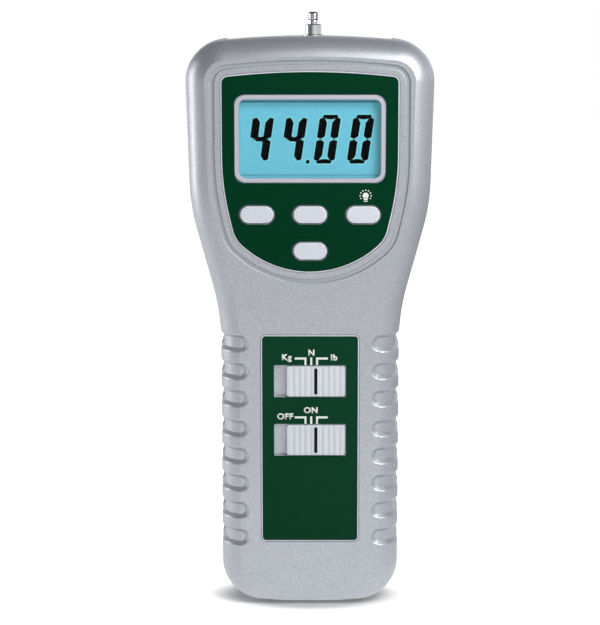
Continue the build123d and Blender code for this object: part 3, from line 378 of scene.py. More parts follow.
def screws(name, node, body, head_side, head_height, shank_radius, recess_depth, dome):
    """Cross-recessed screws along Y in place of a node's plain ones; head_side is +1 for the back."""
    flat_share = 0.92
    arm_share = 0.16
    cross_share = 0.55
    recess_taper = 0.72
    edge_share = 0.06
    side_share = 0.35
    point_share = 0.35
    form = bmesh.new()
    for low, high in solids_of(node):
        screw = bmesh.new()
        head_radius = (high.x - low.x) / 2
        length = high.y - low.y
        rim = head_radius * flat_share
        arm = head_radius * arm_share
        # the head's face is a five by five grid pulled to a circle, with a cross pressed into it
        bmesh.ops.create_grid(screw, x_segments=5, y_segments=5, size=rim)
        for vert in screw.verts:
            for axis in (0, 1):
                if abs(vert.co[axis]) < rim * 0.3:
                    vert.co[axis] = arm if vert.co[axis] > 0 else -arm
            reach = max(abs(vert.co.x), abs(vert.co.y))
            if reach > rim * 0.99:
                vert.co *= rim / hypot(vert.co.x, vert.co.y)
            vert.co.z = -dome * (hypot(vert.co.x, vert.co.y) / rim) ** 2
        cross = []
        for face in screw.faces:
            near, far = sorted(abs(share) for share in face.calc_center_median().xy)
            if near < arm / 2 and far < rim * cross_share:
                cross.append(face)
        pressed = bmesh.ops.extrude_face_region(screw, geom=cross)
        bmesh.ops.delete(screw, geom=cross, context="FACES")
        for vert in made(pressed, bmesh.types.BMVert):
            vert.co = (vert.co.x * recess_taper, vert.co.y * recess_taper, -recess_depth)
        # rim, side of the head, and the shank with its blunt point, each scaled from the ring before
        outer = [edge for edge in screw.edges if len(edge.link_faces) == 1]
        rounds = [
            (1 / flat_share, -dome - edge_share * head_height),
            (1.0, -head_height * side_share),
            (1.0, -head_height),
            (shank_radius / head_radius, -head_height),
            (1.0, -length + shank_radius),
            (point_share, -length),
        ]
        for scale, height in rounds:
            drawn = bmesh.ops.extrude_edge_only(screw, edges=outer)
            for vert in made(drawn, bmesh.types.BMVert):
                vert.co = (vert.co.x * scale, vert.co.y * scale, height)
            outer = [edge for edge in made(drawn, bmesh.types.BMEdge) if len(edge.link_faces) == 1]
        bmesh.ops.holes_fill(screw, edges=outer, sides=0)
        bmesh.ops.recalc_face_normals(screw, faces=screw.faces)
        # each screw stopped at an angle of its own
        middle = (low + high) / 2
        face_y = high.y if head_side > 0 else low.y
        turn = Matrix.Rotation(-head_side * pi / 2, 4, "X")
        twist = Matrix.Rotation(radians(17.0) + 2.3 * middle.x / mm + middle.z / mm, 4, "Z")
        place = Matrix.Translation((middle.x, face_y, middle.z))
        bmesh.ops.transform(screw, verts=screw.verts, matrix=place @ turn @ twist)
        carrier = bpy.data.meshes.new("screw")
        screw.to_mesh(carrier)
        screw.free()
        form.from_mesh(carrier)
        bpy.data.meshes.remove(carrier)
    return as_piece(name, form, [plated_steel], body, replaced=node, sharp=35)


milled_aluminium = worked_metal(
    "milled_aluminium", (0.62, 0.63, 0.65), (0.72, 0.73, 0.75), 0.34, (250.0, 7000.0, 7000.0), 0.000006
)
turned_brass = worked_metal(
    "turned_brass", (0.60, 0.44, 0.19), (0.70, 0.54, 0.26), 0.24, (900.0, 9000.0, 900.0), 0.000004
)
plated_steel = worked_metal(
    "plated_steel", (0.55, 0.55, 0.58), (0.68, 0.68, 0.70), 0.26, (2500.0, 2500.0, 2500.0), 0.000004
)
put_on("chassis_plate", milled_aluminium)
screws(
    "plate_screws", "chassis_screws", "case", head_side=-1, head_height=1.6 * mm, shank_radius=1.25 * mm,
    recess_depth=0.9 * mm, dome=0.3 * mm,
)

# each bush has a rounded mouth, and the crests of its thread show inside
mouth_round = 0.25 * mm
bush_step = 0.5 * mm
thread_pitch = 0.7 * mm
thread_depth = 0.38 * mm
thread_start = 0.6 * mm
thread_end = 0.2 * mm
thread_radius = 1.65 * mm
plate_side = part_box("chassis_plate")[1].y
bushes = bmesh.new()
for low, high in solids_of("stand_bushes"):
    centre = Vector(((low.x + high.x) / 2, 0, (low.z + high.z) / 2))
    outside = (high.x - low.x) / 2
    profile = [
        (thread_radius, low.y),
        (outside - bush_step, low.y),
        (outside - bush_step, plate_side),
        (outside, plate_side),
        (outside, high.y - mouth_round),
        (outside - mouth_round, high.y),
        (thread_radius + thread_depth + mouth_round, high.y),
    ]
    turns = int((high.y - low.y - thread_start - thread_end) / thread_pitch)
    for turn in range(turns):
        crest = high.y - thread_start - turn * thread_pitch
        profile += [(thread_radius + thread_depth, crest), (thread_radius, crest - thread_pitch / 2)]
    profile += [(thread_radius, low.y)]
    turned_form(bushes, profile, centre, (0, 1, 0), steps=40)
bmesh.ops.recalc_face_normals(bushes, faces=bushes.faces)
as_piece("stand_bushes_turned", bushes, [turned_brass], "case", "stand_bushes", sharp=28)

# ---- Load cell and shaft -----------------------------------------------------------------------
# A milled aluminium beam with a flexure, screwed to a block on the back plate. The chromed shaft is
# bolted through its free end, comes out through a bush in the crown, and ends in an M4 stub.
put_on("load_block", milled_aluminium)
put_on("load_cell", milled_aluminium)
screws(
    "beam_screws", "load_cell_screws", "case", head_side=-1, head_height=2.2 * mm, shank_radius=1.5 * mm,
    recess_depth=1.2 * mm, dome=0.35 * mm,
)
put_on("shaft_nut", plated_steel)

chrome = worked_metal(
    "chrome", (0.66, 0.66, 0.68), (0.74, 0.74, 0.76), 0.07, (900.0, 900.0, 14000.0), 0.0000015, spread=0.03
)
shaft_low, shaft_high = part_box("sensing_shaft")
shaft_centre = Vector(((shaft_low.x + shaft_high.x) / 2, (shaft_low.y + shaft_high.y) / 2, 0))
shaft_radius = (shaft_high.x - shaft_low.x) / 2
beam_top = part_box("load_cell")[1].z
stud_radius = 2.0 * mm
neck_radius = 1.6 * mm
neck_length = 1.4 * mm
neck_shoulder = 0.35 * mm
tip_length = 3.0 * mm
tip_radius = 2.0 * mm
tip_root = 1.58 * mm
tip_end_radius = 1.3 * mm
tip_end = 0.2 * mm
crests = 4
edge_break = 0.3 * mm
tip_top = shaft_high.z
neck_top = tip_top - tip_length
collar_top = neck_top - neck_length
shaft_profile = [
    (0, shaft_low.z),
    (stud_radius - edge_break, shaft_low.z),
    (stud_radius, shaft_low.z + edge_break),
    (stud_radius, beam_top),
    (shaft_radius, beam_top),
    (shaft_radius, collar_top - edge_break),
    (shaft_radius - edge_break, collar_top),
    (neck_radius, collar_top),
    (neck_radius, neck_top - neck_shoulder),
]
crest_pitch = (tip_length - tip_end) / crests
for crest in range(crests):
    foot = neck_top + crest * crest_pitch
    shaft_profile += [(tip_root, foot), (tip_radius, foot + crest_pitch / 2)]
shaft_profile += [(tip_root, tip_top - tip_end), (tip_end_radius, tip_top), (0, tip_top)]
shaft = bmesh.new()
turned_form(shaft, shaft_profile, shaft_centre, (0, 0, 1), steps=72)
bmesh.ops.recalc_face_normals(shaft, faces=shaft.faces)
as_piece("sensing_shaft_turned", shaft, [chrome], "sensing_head", "sensing_shaft", sharp=24)

bush_low, bush_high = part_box("shaft_bush")
bush_radius = 3.7 * mm
bush_bore = 3.3 * mm
bush_flange = 0.4 * mm
bush_overhang = 0.25 * mm
bush_edge = 0.1 * mm
bush_collar = 1.4 * mm
bush_outer = (bush_high.x - bush_low.x) / 2
bush_profile = [
    (bush_bore, bush_low.z),
    (bush_outer, bush_low.z),
    (bush_outer, bush_low.z + bush_collar),
    (bush_radius, bush_low.z + bush_collar),
    (bush_radius, bush_high.z - bush_flange),
    (bush_radius + bush_overhang, bush_high.z - bush_flange),
    (bush_radius + bush_overhang, bush_high.z - 0.5 * bush_flange),
    (bush_radius, bush_high.z),
    (bush_bore + bush_edge, bush_high.z),
    (bush_bore, bush_high.z - bush_edge),
    (bush_bore, bush_low.z),
]
bush = bmesh.new()
turned_form(bush, bush_profile, shaft_centre, (0, 0, 1), steps=72)
bmesh.ops.recalc_face_normals(bush, faces=bush.faces)
as_piece("shaft_bush_turned", bush, [chrome], "case", "shaft_bush", sharp=24)

# ---- Circuit board -----------------------------------------------------------------------------
# A glass laminate board with green resist, screwed to bosses in the front shell. It carries the
# chips, the key switches, the two slide switches and the jacks.


def moulded_surface():
    """Node group: fine grain and broad uneven marks on a moulded, printed or painted surface."""
    group = bpy.data.node_groups.new("moulded_surface", "ShaderNodeTree")
    interface = group.interface
    for name, value in (("Grain Scale", 4000.0), ("Mark Scale", 30.0), ("Roughness", 0.4), ("Spread", 0.06)):
        interface.new_socket(name, in_out="INPUT", socket_type="NodeSocketFloat").default_value = value
    for name in ("Grain", "Marks", "Roughness"):
        interface.new_socket(name, in_out="OUTPUT", socket_type="NodeSocketFloat")
    given = group.nodes.new("NodeGroupInput")
    result = group.nodes.new("NodeGroupOutput")
    place = added(group, "TexCoord")
    grain = added(group, "TexNoise", {"Detail": 2.0})
    marks = added(group, "TexNoise", {"Detail": 4.0})
    spread = added(group, "Math", operation="MULTIPLY_ADD")
    low = added(group, "Math", {1: -0.5}, operation="MULTIPLY_ADD")
    link = group.links.new
    link(place.outputs["Object"], grain.inputs["Vector"])
    link(place.outputs["Object"], marks.inputs["Vector"])
    link(given.outputs["Grain Scale"], grain.inputs["Scale"])
    link(given.outputs["Mark Scale"], marks.inputs["Scale"])
    link(given.outputs["Spread"], low.inputs[0])
    link(given.outputs["Roughness"], low.inputs[2])
    link(marks.outputs["Fac"], spread.inputs[0])
    link(given.outputs["Spread"], spread.inputs[1])
    link(low.outputs["Value"], spread.inputs[2])
    link(grain.outputs["Fac"], result.inputs["Grain"])
    link(marks.outputs["Fac"], result.inputs["Marks"])
    link(spread.outputs["Value"], result.inputs["Roughness"])
    return group


moulded_group = moulded_surface()


def moulded(name, dark, light, roughness, grain_scale, bump=0.0, metallic=0.0, gloss=0.5):
    """A moulded, printed or painted finish whose two tones follow its grain."""
    values = {"Grain Scale": grain_scale, "Mark Scale": 30.0, "Roughness": roughness, "Spread": 0.06}
    return surfaced(name, moulded_group, values, "Grain", "Grain", dark, light, bump, metallic, gloss)


green_resist = moulded("green_resist", (0.012, 0.10, 0.045), (0.02, 0.14, 0.065), 0.35, 900.0, bump=0.000008)
black_moulding = moulded(
    "black_moulding", (0.014, 0.014, 0.016), (0.026, 0.026, 0.029), 0.5, 3500.0, bump=0.00001
)
put_on("circuit_board", green_resist)
screws(
    "board_screws_crossed", "board_screws", "case", head_side=1, head_height=1.6 * mm,
    shank_radius=1.25 * mm, recess_depth=0.9 * mm, dome=0.3 * mm,
)
for node in ("board_chips", "key_switches", "signal_jack", "dc_jack", "unit_slider", "power_slider"):
    put_on(node, black_moulding)
for key in ("response", "zero", "backlight", "display_reverse"):
    put_on(f"{key}_plunger", black_moulding)
put_on("slide_switches", plated_steel)

# ---- Display -----------------------------------------------------------------------------------
# A liquid crystal glass in a black holder, lit from behind in cyan. Its black slanted segments have
# a pale fringe, and a clear acrylic window is glued into the front shell over it.
glass_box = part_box("lcd_glass")
window_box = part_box("display_window")
screen_blue = (0.155, 0.60, 0.82)
screen = moulded(
    "screen_glass", tuple(0.94 * c for c in screen_blue), tuple(1.06 * c for c in screen_blue), 0.35, 700.0
)
screen_shader = screen.node_tree.nodes["Principled BSDF"]
screen_shader.inputs["Emission Color"].default_value = (0.30, 0.97, 1.0, 1)
screen_shader.inputs["Emission Strength"].default_value = 0.17
put_on("lcd_glass", screen)
light_guide = moulded("light_guide", (0.74, 0.78, 0.80), (0.84, 0.88, 0.90), 0.45, 2500.0)
put_on("backlight_panel", light_guide)
put_on("lcd_holder", black_moulding)

# the elastomer strips are a stack of dark conducting and pale insulating layers
zebra = bpy.data.materials.new("zebra_layers")
zebra.use_nodes = True
zebra_tree = zebra.node_tree
link = zebra_tree.links.new
zebra_shader = zebra_tree.nodes["Principled BSDF"]
zebra_shader.inputs["Roughness"].default_value = 0.7
zebra_place = added(zebra_tree, "TexCoord")
zebra_layers = added(zebra_tree, "TexWave", {"Scale": 3000.0})
zebra_tint = added(zebra_tree, "Mix", data_type="RGBA")
zebra_tint.inputs["A"].default_value = (0.06, 0.05, 0.05, 1)
zebra_tint.inputs["B"].default_value = (0.62, 0.34, 0.38, 1)
link(zebra_place.outputs["Object"], zebra_layers.inputs["Vector"])
link(zebra_layers.outputs["Fac"], zebra_tint.inputs["Factor"])
link(zebra_tint.outputs["Result"], zebra_shader.inputs["Base Color"])
put_on("elastomer_connectors", zebra)

# clear acrylic: mostly see-through by its alpha, so that light still reaches the glass behind it
window_clear = bpy.data.materials.new("window_clear")
window_clear.use_nodes = True
clear_tree = window_clear.node_tree
clear_shader = clear_tree.nodes["Principled BSDF"]
clear_shader.inputs["Base Color"].default_value = (0.01, 0.012, 0.014, 1)
clear_shader.inputs["IOR"].default_value = 1.49
clear_shader.inputs["Alpha"].default_value = 0.12
clear_values = {"Mark Scale": 45.0, "Roughness": 0.06, "Spread": 0.04}
clear_marks = added(clear_tree, "Group", clear_values, node_tree=moulded_group)
clear_tree.links.new(clear_marks.outputs["Roughness"], clear_shader.inputs["Roughness"])
put_on("display_window", window_clear)

segment_black = moulded(
    "segment_black", (0.0008, 0.0008, 0.001), (0.0016, 0.0016, 0.002), 0.6, 2000.0, gloss=0.0
)
segment_fringe = moulded("segment_fringe", (0.26, 0.86, 0.98), (0.30, 0.92, 1.0), 0.4, 2000.0)
# dark blue for the lines on the glass: polariser edges, and at the top painted shade under the rim
glass_edge_and_shade_line = moulded("glass_edge_and_shade_line", (0.035, 0.22, 0.40), (0.05, 0.27, 0.46), 0.4, 2000.0)

digit_foot = 164.0 * mm
digit_height = 17.35 * mm
digit_width = 7.55 * mm
digit_pitch = 11.9 * mm
first_digit = -22.75 * mm
digit_slant = radians(8.5)
upright_width = 2.85 * mm
level_width = 1.6 * mm
segment_gap = 0.18 * mm
point_size = 1.25 * mm
point_back = 2.6 * mm
fringe_width = 0.34 * mm
fringe_depth = 0.02 * mm
bar_depth = 0.04 * mm
glass_front = glass_box[0].y
ink_sunk = 0.01 * mm


def bar(form, start, end, width, start_cut, end_cut, grow):
    """A flat bar from start to end with pointed ends; a cut is how far each side falls short."""
    grown_end = 1.4 * grow
    grown_cut = 0.6 * grow
    start, end = Vector(start), Vector(end)
    along = (end - start).normalized()
    across = Vector((-along.y, along.x))
    half = width / 2 + grow
    start = start - along * grown_end
    end = end + along * grown_end
    left_start, right_start = (cut + grown_cut if cut else 0.0 for cut in start_cut)
    left_end, right_end = (cut + grown_cut if cut else 0.0 for cut in end_cut)
    corners = [
        start,
        start + across * half + along * left_start,
        end + across * half - along * left_end,
        end,
        end - across * half - along * right_end,
        start - across * half + along * right_start,
    ]
    form.faces.new([form.verts.new((corner.x, 0, corner.y)) for corner in corners])


def seven_bars(form, lit, origin_x, grow):
    """The lit bars of one digit, upright, standing on z = 0; letters a to g as on any such display."""
    left, right = upright_width / 2, digit_width - upright_width / 2
    low, high = level_width / 2, digit_height - level_width / 2
    middle = digit_height / 2
    overlap = 0.075 * upright_width
    pull = 0.05 * upright_width
    bars = {
        "a": ((left - overlap, high), (right + overlap, high)),
        "d": ((left - overlap, low), (right + overlap, low)),
        "g": ((left + pull, middle), (right - pull, middle)),
        "f": ((left, middle + segment_gap), (left, high - pull)),
        "b": ((right, middle + segment_gap), (right, high - pull)),
        "e": ((left, low + pull), (left, middle - segment_gap)),
        "c": ((right, low + pull), (right, middle - segment_gap)),
    }
    # the level bar g is pointed; a and d are cut on their inner side only
    point = 0.55 * level_width
    level_cuts = {"a": (0.0, 2 * point), "d": (2 * point, 0.0), "g": (point, point)}
    # the uprights are cut long on their inner side at the digit's ends, and short elsewhere
    long_cut = 0.62 * upright_width
    short_cut = 0.28 * long_cut
    inner_cut = 1.6 * short_cut
    for letter in lit:
        start, end = (Vector((x + origin_x, z)) for x, z in bars[letter])
        if letter in level_cuts:
            bar(form, start, end, level_width, level_cuts[letter], level_cuts[letter], grow)
        else:
            near, far = (short_cut, inner_cut), (short_cut, long_cut)
            if letter in "bc":
                near, far = near[::-1], far[::-1]
            if letter in "ec":
                near, far = far, near
            bar(form, start, end, upright_width, near, far, grow)


def raised(form, depth):
    """Thickens a form's flat faces toward -Y."""
    grown = bmesh.ops.extrude_face_region(form, geom=form.faces[:])
    bmesh.ops.translate(form, verts=made(grown, bmesh.types.BMVert), vec=(0, -depth, 0))
    bmesh.ops.recalc_face_normals(form, faces=form.faces)


def readout(name, material, grow, depth):
    """All lit bars and the point, slanted and set on the glass."""
    form = bmesh.new()
    for place, lit in enumerate(("bcfg", "bcfg", "abcdef", "abcdef")):
        seven_bars(form, lit, place * digit_pitch, grow)
    low, high = -grow, point_size + grow
    left = 2 * digit_pitch - point_back - grow
    right = left + point_size + 2 * grow
    corners = ((left, low), (right, low), (right, high), (left, high))
    form.faces.new([form.verts.new((x, 0, z)) for x, z in corners])
    slant = Matrix.Identity(4)
    slant[0][2] = tan(digit_slant)
    place = Matrix.Translation((first_digit, glass_front + ink_sunk, digit_foot))
    bmesh.ops.transform(form, verts=form.verts, matrix=place @ slant)
    bmesh.ops.recalc_face_normals(form, faces=form.faces)
    raised(form, depth + ink_sunk)
    return as_piece(name, form, [material], "case")


readout("readout_fringe", segment_fringe, fringe_width, fringe_depth)
readout("readout_bars", segment_black, 0.0, bar_depth)


def block(form, low_x, high_x, low_z, high_z, front_y, depth):
    """Adds a thin upright block between two corners, standing out from front_y toward -Y."""
    size = Matrix.Diagonal((high_x - low_x, depth, high_z - low_z, 1))
    place = Matrix.Translation(((low_x + high_x) / 2, front_y - depth / 2, (low_z + high_z) / 2))
    bmesh.ops.create_cube(form, size=1.0, matrix=place @ size)


# the smooth rim of the opening, moulded with the front shell and left without the paint's grain
rim_half_width = 25.25 * mm
rim_half_height = 13.95 * mm
rim_inner_corner = 2.5 * mm
rim_width = 1.6 * mm
rim_foot = 0.45 * mm
rim_crown = 0.08 * mm
rim_sink = 0.1 * mm
rim_round = 0.15 * mm
rim_lip = 0.5 * mm
rim_flat = 0.4 * rim_crown
shell_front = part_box("front_case")[0].y
window_middle = (window_box[0].z + window_box[1].z) / 2
rim_silver = moulded("rim_silver", (0.55, 0.54, 0.62), (0.60, 0.59, 0.67), 0.32, 3000.0, metallic=0.35)


def rounded_loop(form, half_width, half_height, corner, depth, steps):
    """A closed loop of edges round a rounded rectangle that stands upright at a depth."""
    verts = []
    for quarter, (side_x, side_z) in enumerate(((1, 1), (-1, 1), (-1, -1), (1, -1))):
        centre_x = side_x * (half_width - corner)
        centre_z = window_middle + side_z * (half_height - corner)
        for turn in range(steps + 1):
            angle = pi / 2 * (quarter + turn / steps)
            spot = (centre_x + corner * cos(angle), depth, centre_z + corner * sin(angle))
            verts.append(form.verts.new(spot))
    return [form.edges.new((verts[i - 1], verts[i])) for i in range(len(verts))]


# its section by width outward and depth below the shell's front: a flat between two raised lips
rim_section = [
    (0.0, rim_sink),
    (rim_round, -rim_crown),
    (rim_lip, -rim_flat),
    (rim_width - rim_lip, -rim_flat),
    (rim_width - rim_round, -rim_crown),
    (rim_width, rim_sink),
    (rim_width, rim_foot),
    (0.0, rim_foot),
]
corner_x = rim_half_width - rim_inner_corner
corner_z = rim_half_height - rim_inner_corner
rim = bmesh.new()
loop = rounded_loop(rim, rim_half_width, rim_half_height, rim_inner_corner, shell_front + rim_foot, steps=8)
for out, depth in rim_section:
    drawn = bmesh.ops.extrude_edge_only(rim, edges=loop)
    for vert in made(drawn, bmesh.types.BMVert):
        centre = Vector((
            corner_x if vert.co.x > 0 else -corner_x, 0,
            window_middle + (corner_z if vert.co.z > window_middle else -corner_z),
        ))
        outward = Vector((vert.co.x - centre.x, 0, vert.co.z - centre.z)).normalized()
        vert.co = centre + outward * (rim_inner_corner + out)
        vert.co.y = shell_front + depth
    loop = [edge for edge in made(drawn, bmesh.types.BMEdge) if len(edge.link_faces) == 1]
bmesh.ops.remove_doubles(rim, verts=rim.verts, dist=weld)
bmesh.ops.recalc_face_normals(rim, faces=rim.faces)
as_piece("display_rim", rim, [rim_silver], "case", sharp=50)

# dark lines across the glass just inside the window: the two thin ones near the foot are edges of the front
# polariser, and the wide one at the top is partly a polariser edge and partly painted shade under the rim;
# foot and width of each line
line_half = 25.2 * mm
line_depth = 0.03 * mm
polariser_and_shade_lines = ((185.75 * mm, 0.42 * mm), (159.55 * mm, 0.16 * mm), (160.0 * mm, 0.10 * mm))
glass_lines_form = bmesh.new()
for line_z, line_width in polariser_and_shade_lines:
    block(glass_lines_form, -line_half, line_half, line_z, line_z + line_width, glass_front + ink_sunk, line_depth)
as_piece("polariser_edges_and_shade", glass_lines_form, [glass_edge_and_shade_line], "case")

# ---- Batteries ---------------------------------------------------------------------------------
# Six AA cells in a black tray behind the door, in three columns with plated contact plates and
# springs at their ends. Each cell is a steel can in a printed sleeve with a copper band.
put_on("battery_tray", black_moulding)
put_on("battery_contacts", plated_steel)
sleeve_dark = moulded("sleeve_dark", (0.012, 0.014, 0.022), (0.018, 0.020, 0.030), 0.25, 1500.0)
sleeve_copper = moulded("sleeve_copper", (0.50, 0.24, 0.11), (0.58, 0.29, 0.14), 0.25, 1500.0, metallic=0.8)
nub_radius = 2.6 * mm
nub_length = 1.2 * mm
nub_round = 0.3 * mm
end_sunk = 0.25 * mm
cell_round = 0.7 * mm
sleeve_lip = 1.12 * mm
sleeve_reach = 0.84 * mm
band_length = 14.0 * mm
band_seam = 0.2 * mm
cells = bmesh.new()
for low, high in solids_of("battery_cells"):
    centre = Vector(((low.x + high.x) / 2, (low.y + high.y) / 2, 0))
    radius = (high.x - low.x) / 2
    # the middle column stands on its head
    upside_down = abs(centre.x) < radius
    foot, top = (high.z, low.z) if upside_down else (low.z, high.z)
    up = -1 if upside_down else 1
    shoulder = top - up * nub_length
    profile = [
        (0, foot),
        (radius - cell_round, foot),
        (radius, foot + up * cell_round),
        (radius, shoulder - up * (band_length + band_seam)),
        (radius, shoulder - up * band_length),
        (radius, shoulder - up * cell_round),
        (radius - cell_round, shoulder),
        (radius - sleeve_lip, shoulder - up * end_sunk),
        (nub_radius + nub_round, shoulder - up * end_sunk),
        (nub_radius, shoulder),
        (nub_radius, top - up * nub_round),
        (nub_radius - nub_round, top),
        (0, top),
    ]
    before = set(cells.faces)
    turned_form(cells, profile, centre, (0, 0, 1), steps=40)
    for face in set(cells.faces) - before:
        spot = face.calc_center_median()
        reach = hypot(spot.x - centre.x, spot.y - centre.y)
        if reach < radius - sleeve_reach:
            face.material_index = 2
        elif (shoulder - spot.z) * up < band_length:
            face.material_index = 1
bmesh.ops.recalc_face_normals(cells, faces=cells.faces)
as_piece(
    "battery_cells_sleeved", cells, [sleeve_dark, sleeve_copper, plated_steel], "case",
    "battery_cells", sharp=30,
)

# ---- Case shells and battery door --------------------------------------------------------------
# Two moulded halves and the door, in satin silver paint with a fine metallic grain. The front one
# carries the engraved ring and the finger grooves; the rear one takes the screws from its wells.
silver_paint = moulded(
    "silver_paint", (0.32, 0.335, 0.365), (0.58, 0.60, 0.645), 0.42, 1900.0, bump=0.00003, metallic=0.6
)


def smooth_copy(node, material, sharp=14.0):
    """A welded and smoothly shaded stand-in for a CAD node; edges that turn more stay sharp."""
    skin = welded(node)
    for face in skin.faces:
        face.material_index = 0
    piece = as_piece(
        f"{node}_skin", skin, [material], nodes[node]["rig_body"], node, sharp=sharp
    )
    if "custom_normal" in piece.data.attributes:
        piece.data.attributes.remove(piece.data.attributes["custom_normal"])
    even = piece.modifiers.new("even_normals", "WEIGHTED_NORMAL")
    even.keep_sharp = True
    return piece


for shell in ("front_case", "rear_case", "battery_cover"):
    smooth_copy(shell, silver_paint)
screws(
    "case_screws_crossed", "case_screws", "case", head_side=1, head_height=2.2 * mm, shank_radius=1.5 * mm,
    recess_depth=1.3 * mm, dome=0.4 * mm,
)
screws(
    "cover_screws_crossed", "cover_screws", "battery_door", head_side=1, head_height=1.25 * mm,
    shank_radius=1.5 * mm, recess_depth=1.2 * mm, dome=0.05 * mm,
)

# ---- Overlays ----------------------------------------------------------------------------------
# Two printed films set into shallow pockets: the shield round the display in deep green, and the
# straight label with the switches in a slightly paler green.
shield_film = moulded(
    "shield_film", (0.0007, 0.0350, 0.0140), (0.000784, 0.0392, 0.01568), 0.5, 2500.0, bump=0.000004,
    gloss=0.03,
)
label_film = moulded(
    "label_film", (0.0045, 0.0470, 0.0215), (0.00495, 0.0517, 0.02365), 0.55, 2500.0, bump=0.000004,
    gloss=0.03,
)
# a pale lilac painted highlight for the films' outer border and sides, standing in for light caught by the
# pocket's edge
film_edge_highlight = moulded("film_edge_highlight", (0.82, 0.80, 0.90), (0.88, 0.86, 0.96), 0.3, 2500.0)
film_highlight_width = 0.26 * mm
film_play = 0.6 * mm
key_gap = 0.12 * mm


def bordered_film(node, film, openings=()):
    """A printed film with a pale line painted round its outer edge as a highlight, standing in for the light
    that the pocket's edge catches.
    """
    sheet = welded(node)
    for cut in openings:
        low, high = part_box(cut)
        corner = min(high.x - low.x, high.z - low.z) / 2
        for vert in sheet.verts:
            # the nearest point on the middle line of the key, which the opening's edge is set round
            inner = Vector((
                min(max(vert.co.x, low.x + corner), high.x - corner), vert.co.y,
                min(max(vert.co.z, low.z + corner), high.z - corner),
            ))
            outward = vert.co - inner
            if corner < outward.length < corner + film_play:
                vert.co = inner + outward.normalized() * (corner + key_gap)
    front = [face for face in sheet.faces if face.normal.y < -0.9]
    for face in sheet.faces:
        face.material_index = 1
    border = bmesh.ops.inset_region(
        sheet, faces=front, thickness=film_highlight_width, use_boundary=True, use_even_offset=True
    )
    for face in front + border["faces"]:
        face.material_index = 0
    # the painted highlight runs only round the outer border; the ink runs right up to the openings
    outer = {min(border["faces"], key=lambda face: face.calc_center_median().x)}
    reached = list(outer)
    while reached:
        for edge in reached.pop().edges:
            for face in edge.link_faces:
                if face in border["faces"] and face not in outer:
                    outer.add(face)
                    reached.append(face)
    for face in outer:
        face.material_index = 1
    return as_piece(f"{node}_film", sheet, [film, film_edge_highlight], "case", node, sharp=30)


bordered_film(
    "upper_overlay", shield_film,
    ("response_button", "zero_button", "backlight_button", "display_reverse_button"),
)
bordered_film("lower_overlay", label_film)

# ---- Marks on the overlays ---------------------------------------------------------------------
# White screen print: over each slot a tick for every position, the outer two turned away to their
# words, and over the right key a lamp for the display's light.
ink_white = moulded("ink_white", (0.84, 0.85, 0.84), (0.92, 0.93, 0.92), 0.5, 3000.0)
ink_depth = 0.03 * mm
label_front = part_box("lower_overlay")[0].y
shield_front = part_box("upper_overlay")[0].y
unit_slot_top = 91.05 * mm
power_slot_top = 69.25 * mm
step = 2.1 * mm
tick_shift = 0.45 * mm
tick_width = 0.72 * mm
tick_low = 0.15 * mm
tick_high = 3.0 * mm
arm_width = 0.78 * mm
arm_end = 6.0 * mm


def switch_ticks(name, slot_top):
    """Three ticks; the outer two have an arm that points away from the middle."""
    ticks = bmesh.new()
    top = slot_top + tick_high
    for side in (-1, 0, 1):
        low = side * step + tick_shift - tick_width / 2
        high = low + tick_width
        block(ticks, low, high, slot_top + tick_low, top, label_front, ink_depth)
        if side:
            inner = high if side > 0 else low
            low, high = sorted((inner, tick_shift + side * arm_end))
            block(ticks, low, high, top - arm_width, top, label_front, ink_depth)
    return as_piece(name, ticks, [ink_white], "case")


switch_ticks("unit_ticks", unit_slot_top)
switch_ticks("power_ticks", power_slot_top)

cap_height = 2.2 * mm
cap_share = 0.73
letter_growth = 0.052 * cap_height
letter_spacing = 1.10
letter_stretch = 1.04
faces_front = Matrix.Rotation(pi / 2, 4, "X")


def words(name, text, x, z, align):
    """Printed letters, made a mesh and set on the label."""
    curve = bpy.data.curves.new(name, "FONT")
    curve.body = text
    curve.size = cap_height / cap_share
    curve.align_x = align
    curve.space_character = letter_spacing
    curve.offset = letter_growth
    lettering = bpy.data.objects.new(f"{name}_outline", curve)
    bpy.context.collection.objects.link(lettering)
    bpy.context.view_layer.update()
    depsgraph = bpy.context.evaluated_depsgraph_get()
    mesh = bpy.data.meshes.new_from_object(lettering.evaluated_get(depsgraph))
    bpy.data.objects.remove(lettering)
    form = bmesh.new()
    form.from_mesh(mesh)
    bpy.data.meshes.remove(mesh)
    place = Matrix.Translation((x, label_front, z)) @ faces_front @ Matrix.Diagonal((letter_stretch, 1, 1, 1))
    bmesh.ops.transform(form, verts=form.verts, matrix=place)
    bmesh.ops.remove_doubles(form, verts=form.verts, dist=weld)
    raised(form, ink_depth)
    return as_piece(name, form, [ink_white], "case")


words("word_kg", "Kg", -6.75 * mm, unit_slot_top + 2.05 * mm, "RIGHT")
words("word_newton", "N", 0.5 * mm, unit_slot_top + 3.7 * mm, "CENTER")
words("word_lb", "lb", 7.45 * mm, unit_slot_top + 1.95 * mm, "LEFT")
words("word_off", "OFF", -6.15 * mm, power_slot_top + 1.95 * mm, "RIGHT")
words("word_on", "ON", 0.3 * mm, power_slot_top + 4.25 * mm, "CENTER")

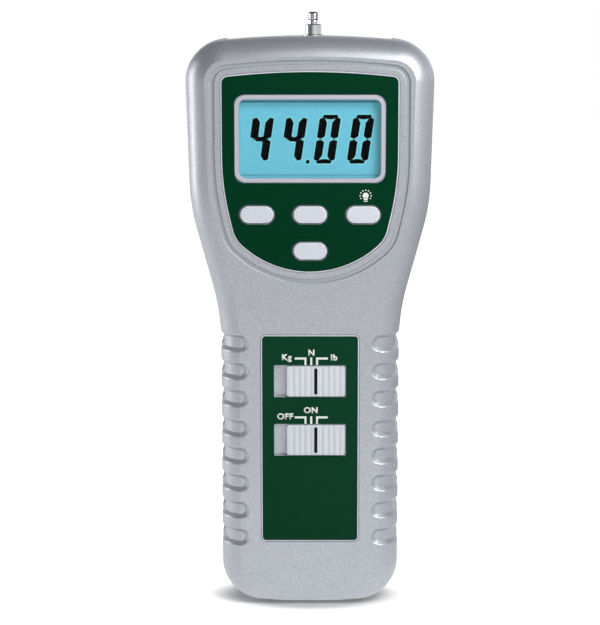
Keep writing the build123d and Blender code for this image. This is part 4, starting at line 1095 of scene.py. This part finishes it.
# the lamp: a round bulb on a two-step cap, with nine rays over two thirds of a circle
lamp_x = 19.87 * mm
lamp_z = 152.75 * mm
bulb_radius = 1.08 * mm
cap_half = 0.72 * mm
cap_steps = ((-1.6 * mm, -0.7 * mm), (-2.15 * mm, -1.85 * mm))
ray_start = 1.74 * mm
ray_end = 2.2 * mm
ray_width = 0.38 * mm
ray_first = -30.0
ray_sweep = 240.0
rays = 9
lamp = bmesh.new()
place = Matrix.Translation((lamp_x, shield_front, lamp_z)) @ faces_front
bmesh.ops.create_circle(lamp, cap_ends=True, radius=bulb_radius, segments=32, matrix=place)
raised(lamp, ink_depth)
for low, high in cap_steps:
    block(lamp, lamp_x - cap_half, lamp_x + cap_half, lamp_z + low, lamp_z + high, shield_front, ink_depth)
ray_size = Matrix.Diagonal((ray_end - ray_start, ink_depth, ray_width, 1))
middle = (ray_start + ray_end) / 2
for ray in range(rays):
    angle = radians(ray_first + ray * ray_sweep / (rays - 1))
    spot = (lamp_x + middle * cos(angle), shield_front - ink_depth / 2, lamp_z + middle * sin(angle))
    turn = Matrix.Rotation(-angle, 4, "Y")
    bmesh.ops.create_cube(lamp, size=1.0, matrix=Matrix.Translation(spot) @ turn @ ray_size)
bmesh.ops.recalc_face_normals(lamp, faces=lamp.faces)
as_piece("lamp_mark", lamp, [ink_white], "case")

# ---- Buttons and knobs -------------------------------------------------------------------------
# Moulded keys in translucent white with a soft edge, and ribbed knobs in pale grey with a black
# index line laid in a slot across the middle.
key_white = moulded("key_white", (0.66, 0.69, 0.76), (0.71, 0.74, 0.81), 0.32, 1500.0)
for key in ("response", "zero", "backlight", "display_reverse"):
    smooth_copy(f"{key}_button", key_white, sharp=25)
knob_grey = moulded("knob_grey", (0.68, 0.72, 0.75), (0.74, 0.77, 0.81), 0.4, 2500.0, bump=0.000005)
index_black = moulded("index_black", (0.003, 0.003, 0.004), (0.006, 0.006, 0.008), 0.4, 2500.0, gloss=0.1)
index_width = 1.15 * mm
index_margin = 0.75 * mm
index_proud = 0.04 * mm
index_corner = 0.5 * mm
rib_depth = 0.3 * mm
rib_share = 0.45
for knob in ("unit", "power"):
    low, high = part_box(f"{knob}_knob")
    cap = smooth_copy(f"{knob}_knob", knob_grey, sharp=25)
    # the ribs are worn shallow, and the inlaid line stands just proud of them
    for vert in cap.data.vertices:
        depth = vert.co.y - low.y
        if depth < rib_depth + 0.01 * mm:
            vert.co.y = low.y + index_proud + rib_share * depth
    centre = (low.x + high.x) / 2
    index = bmesh.new()
    left, right = centre - index_width / 2, centre + index_width / 2
    block(index, left, right, low.z + index_margin, high.z - index_margin, low.y + rib_depth, rib_depth)
    corners = [
        edge for edge in index.edges
        if abs(edge.verts[0].co.y - edge.verts[1].co.y) > rib_depth / 2
    ]
    bmesh.ops.bevel(
        index, geom=corners, offset=index_corner, offset_type="OFFSET", segments=5, profile=0.5,
        affect="EDGES", material=-1,
    )
    as_piece(f"{knob}_index", index, [index_black], f"{knob}_switch", sharp=30)
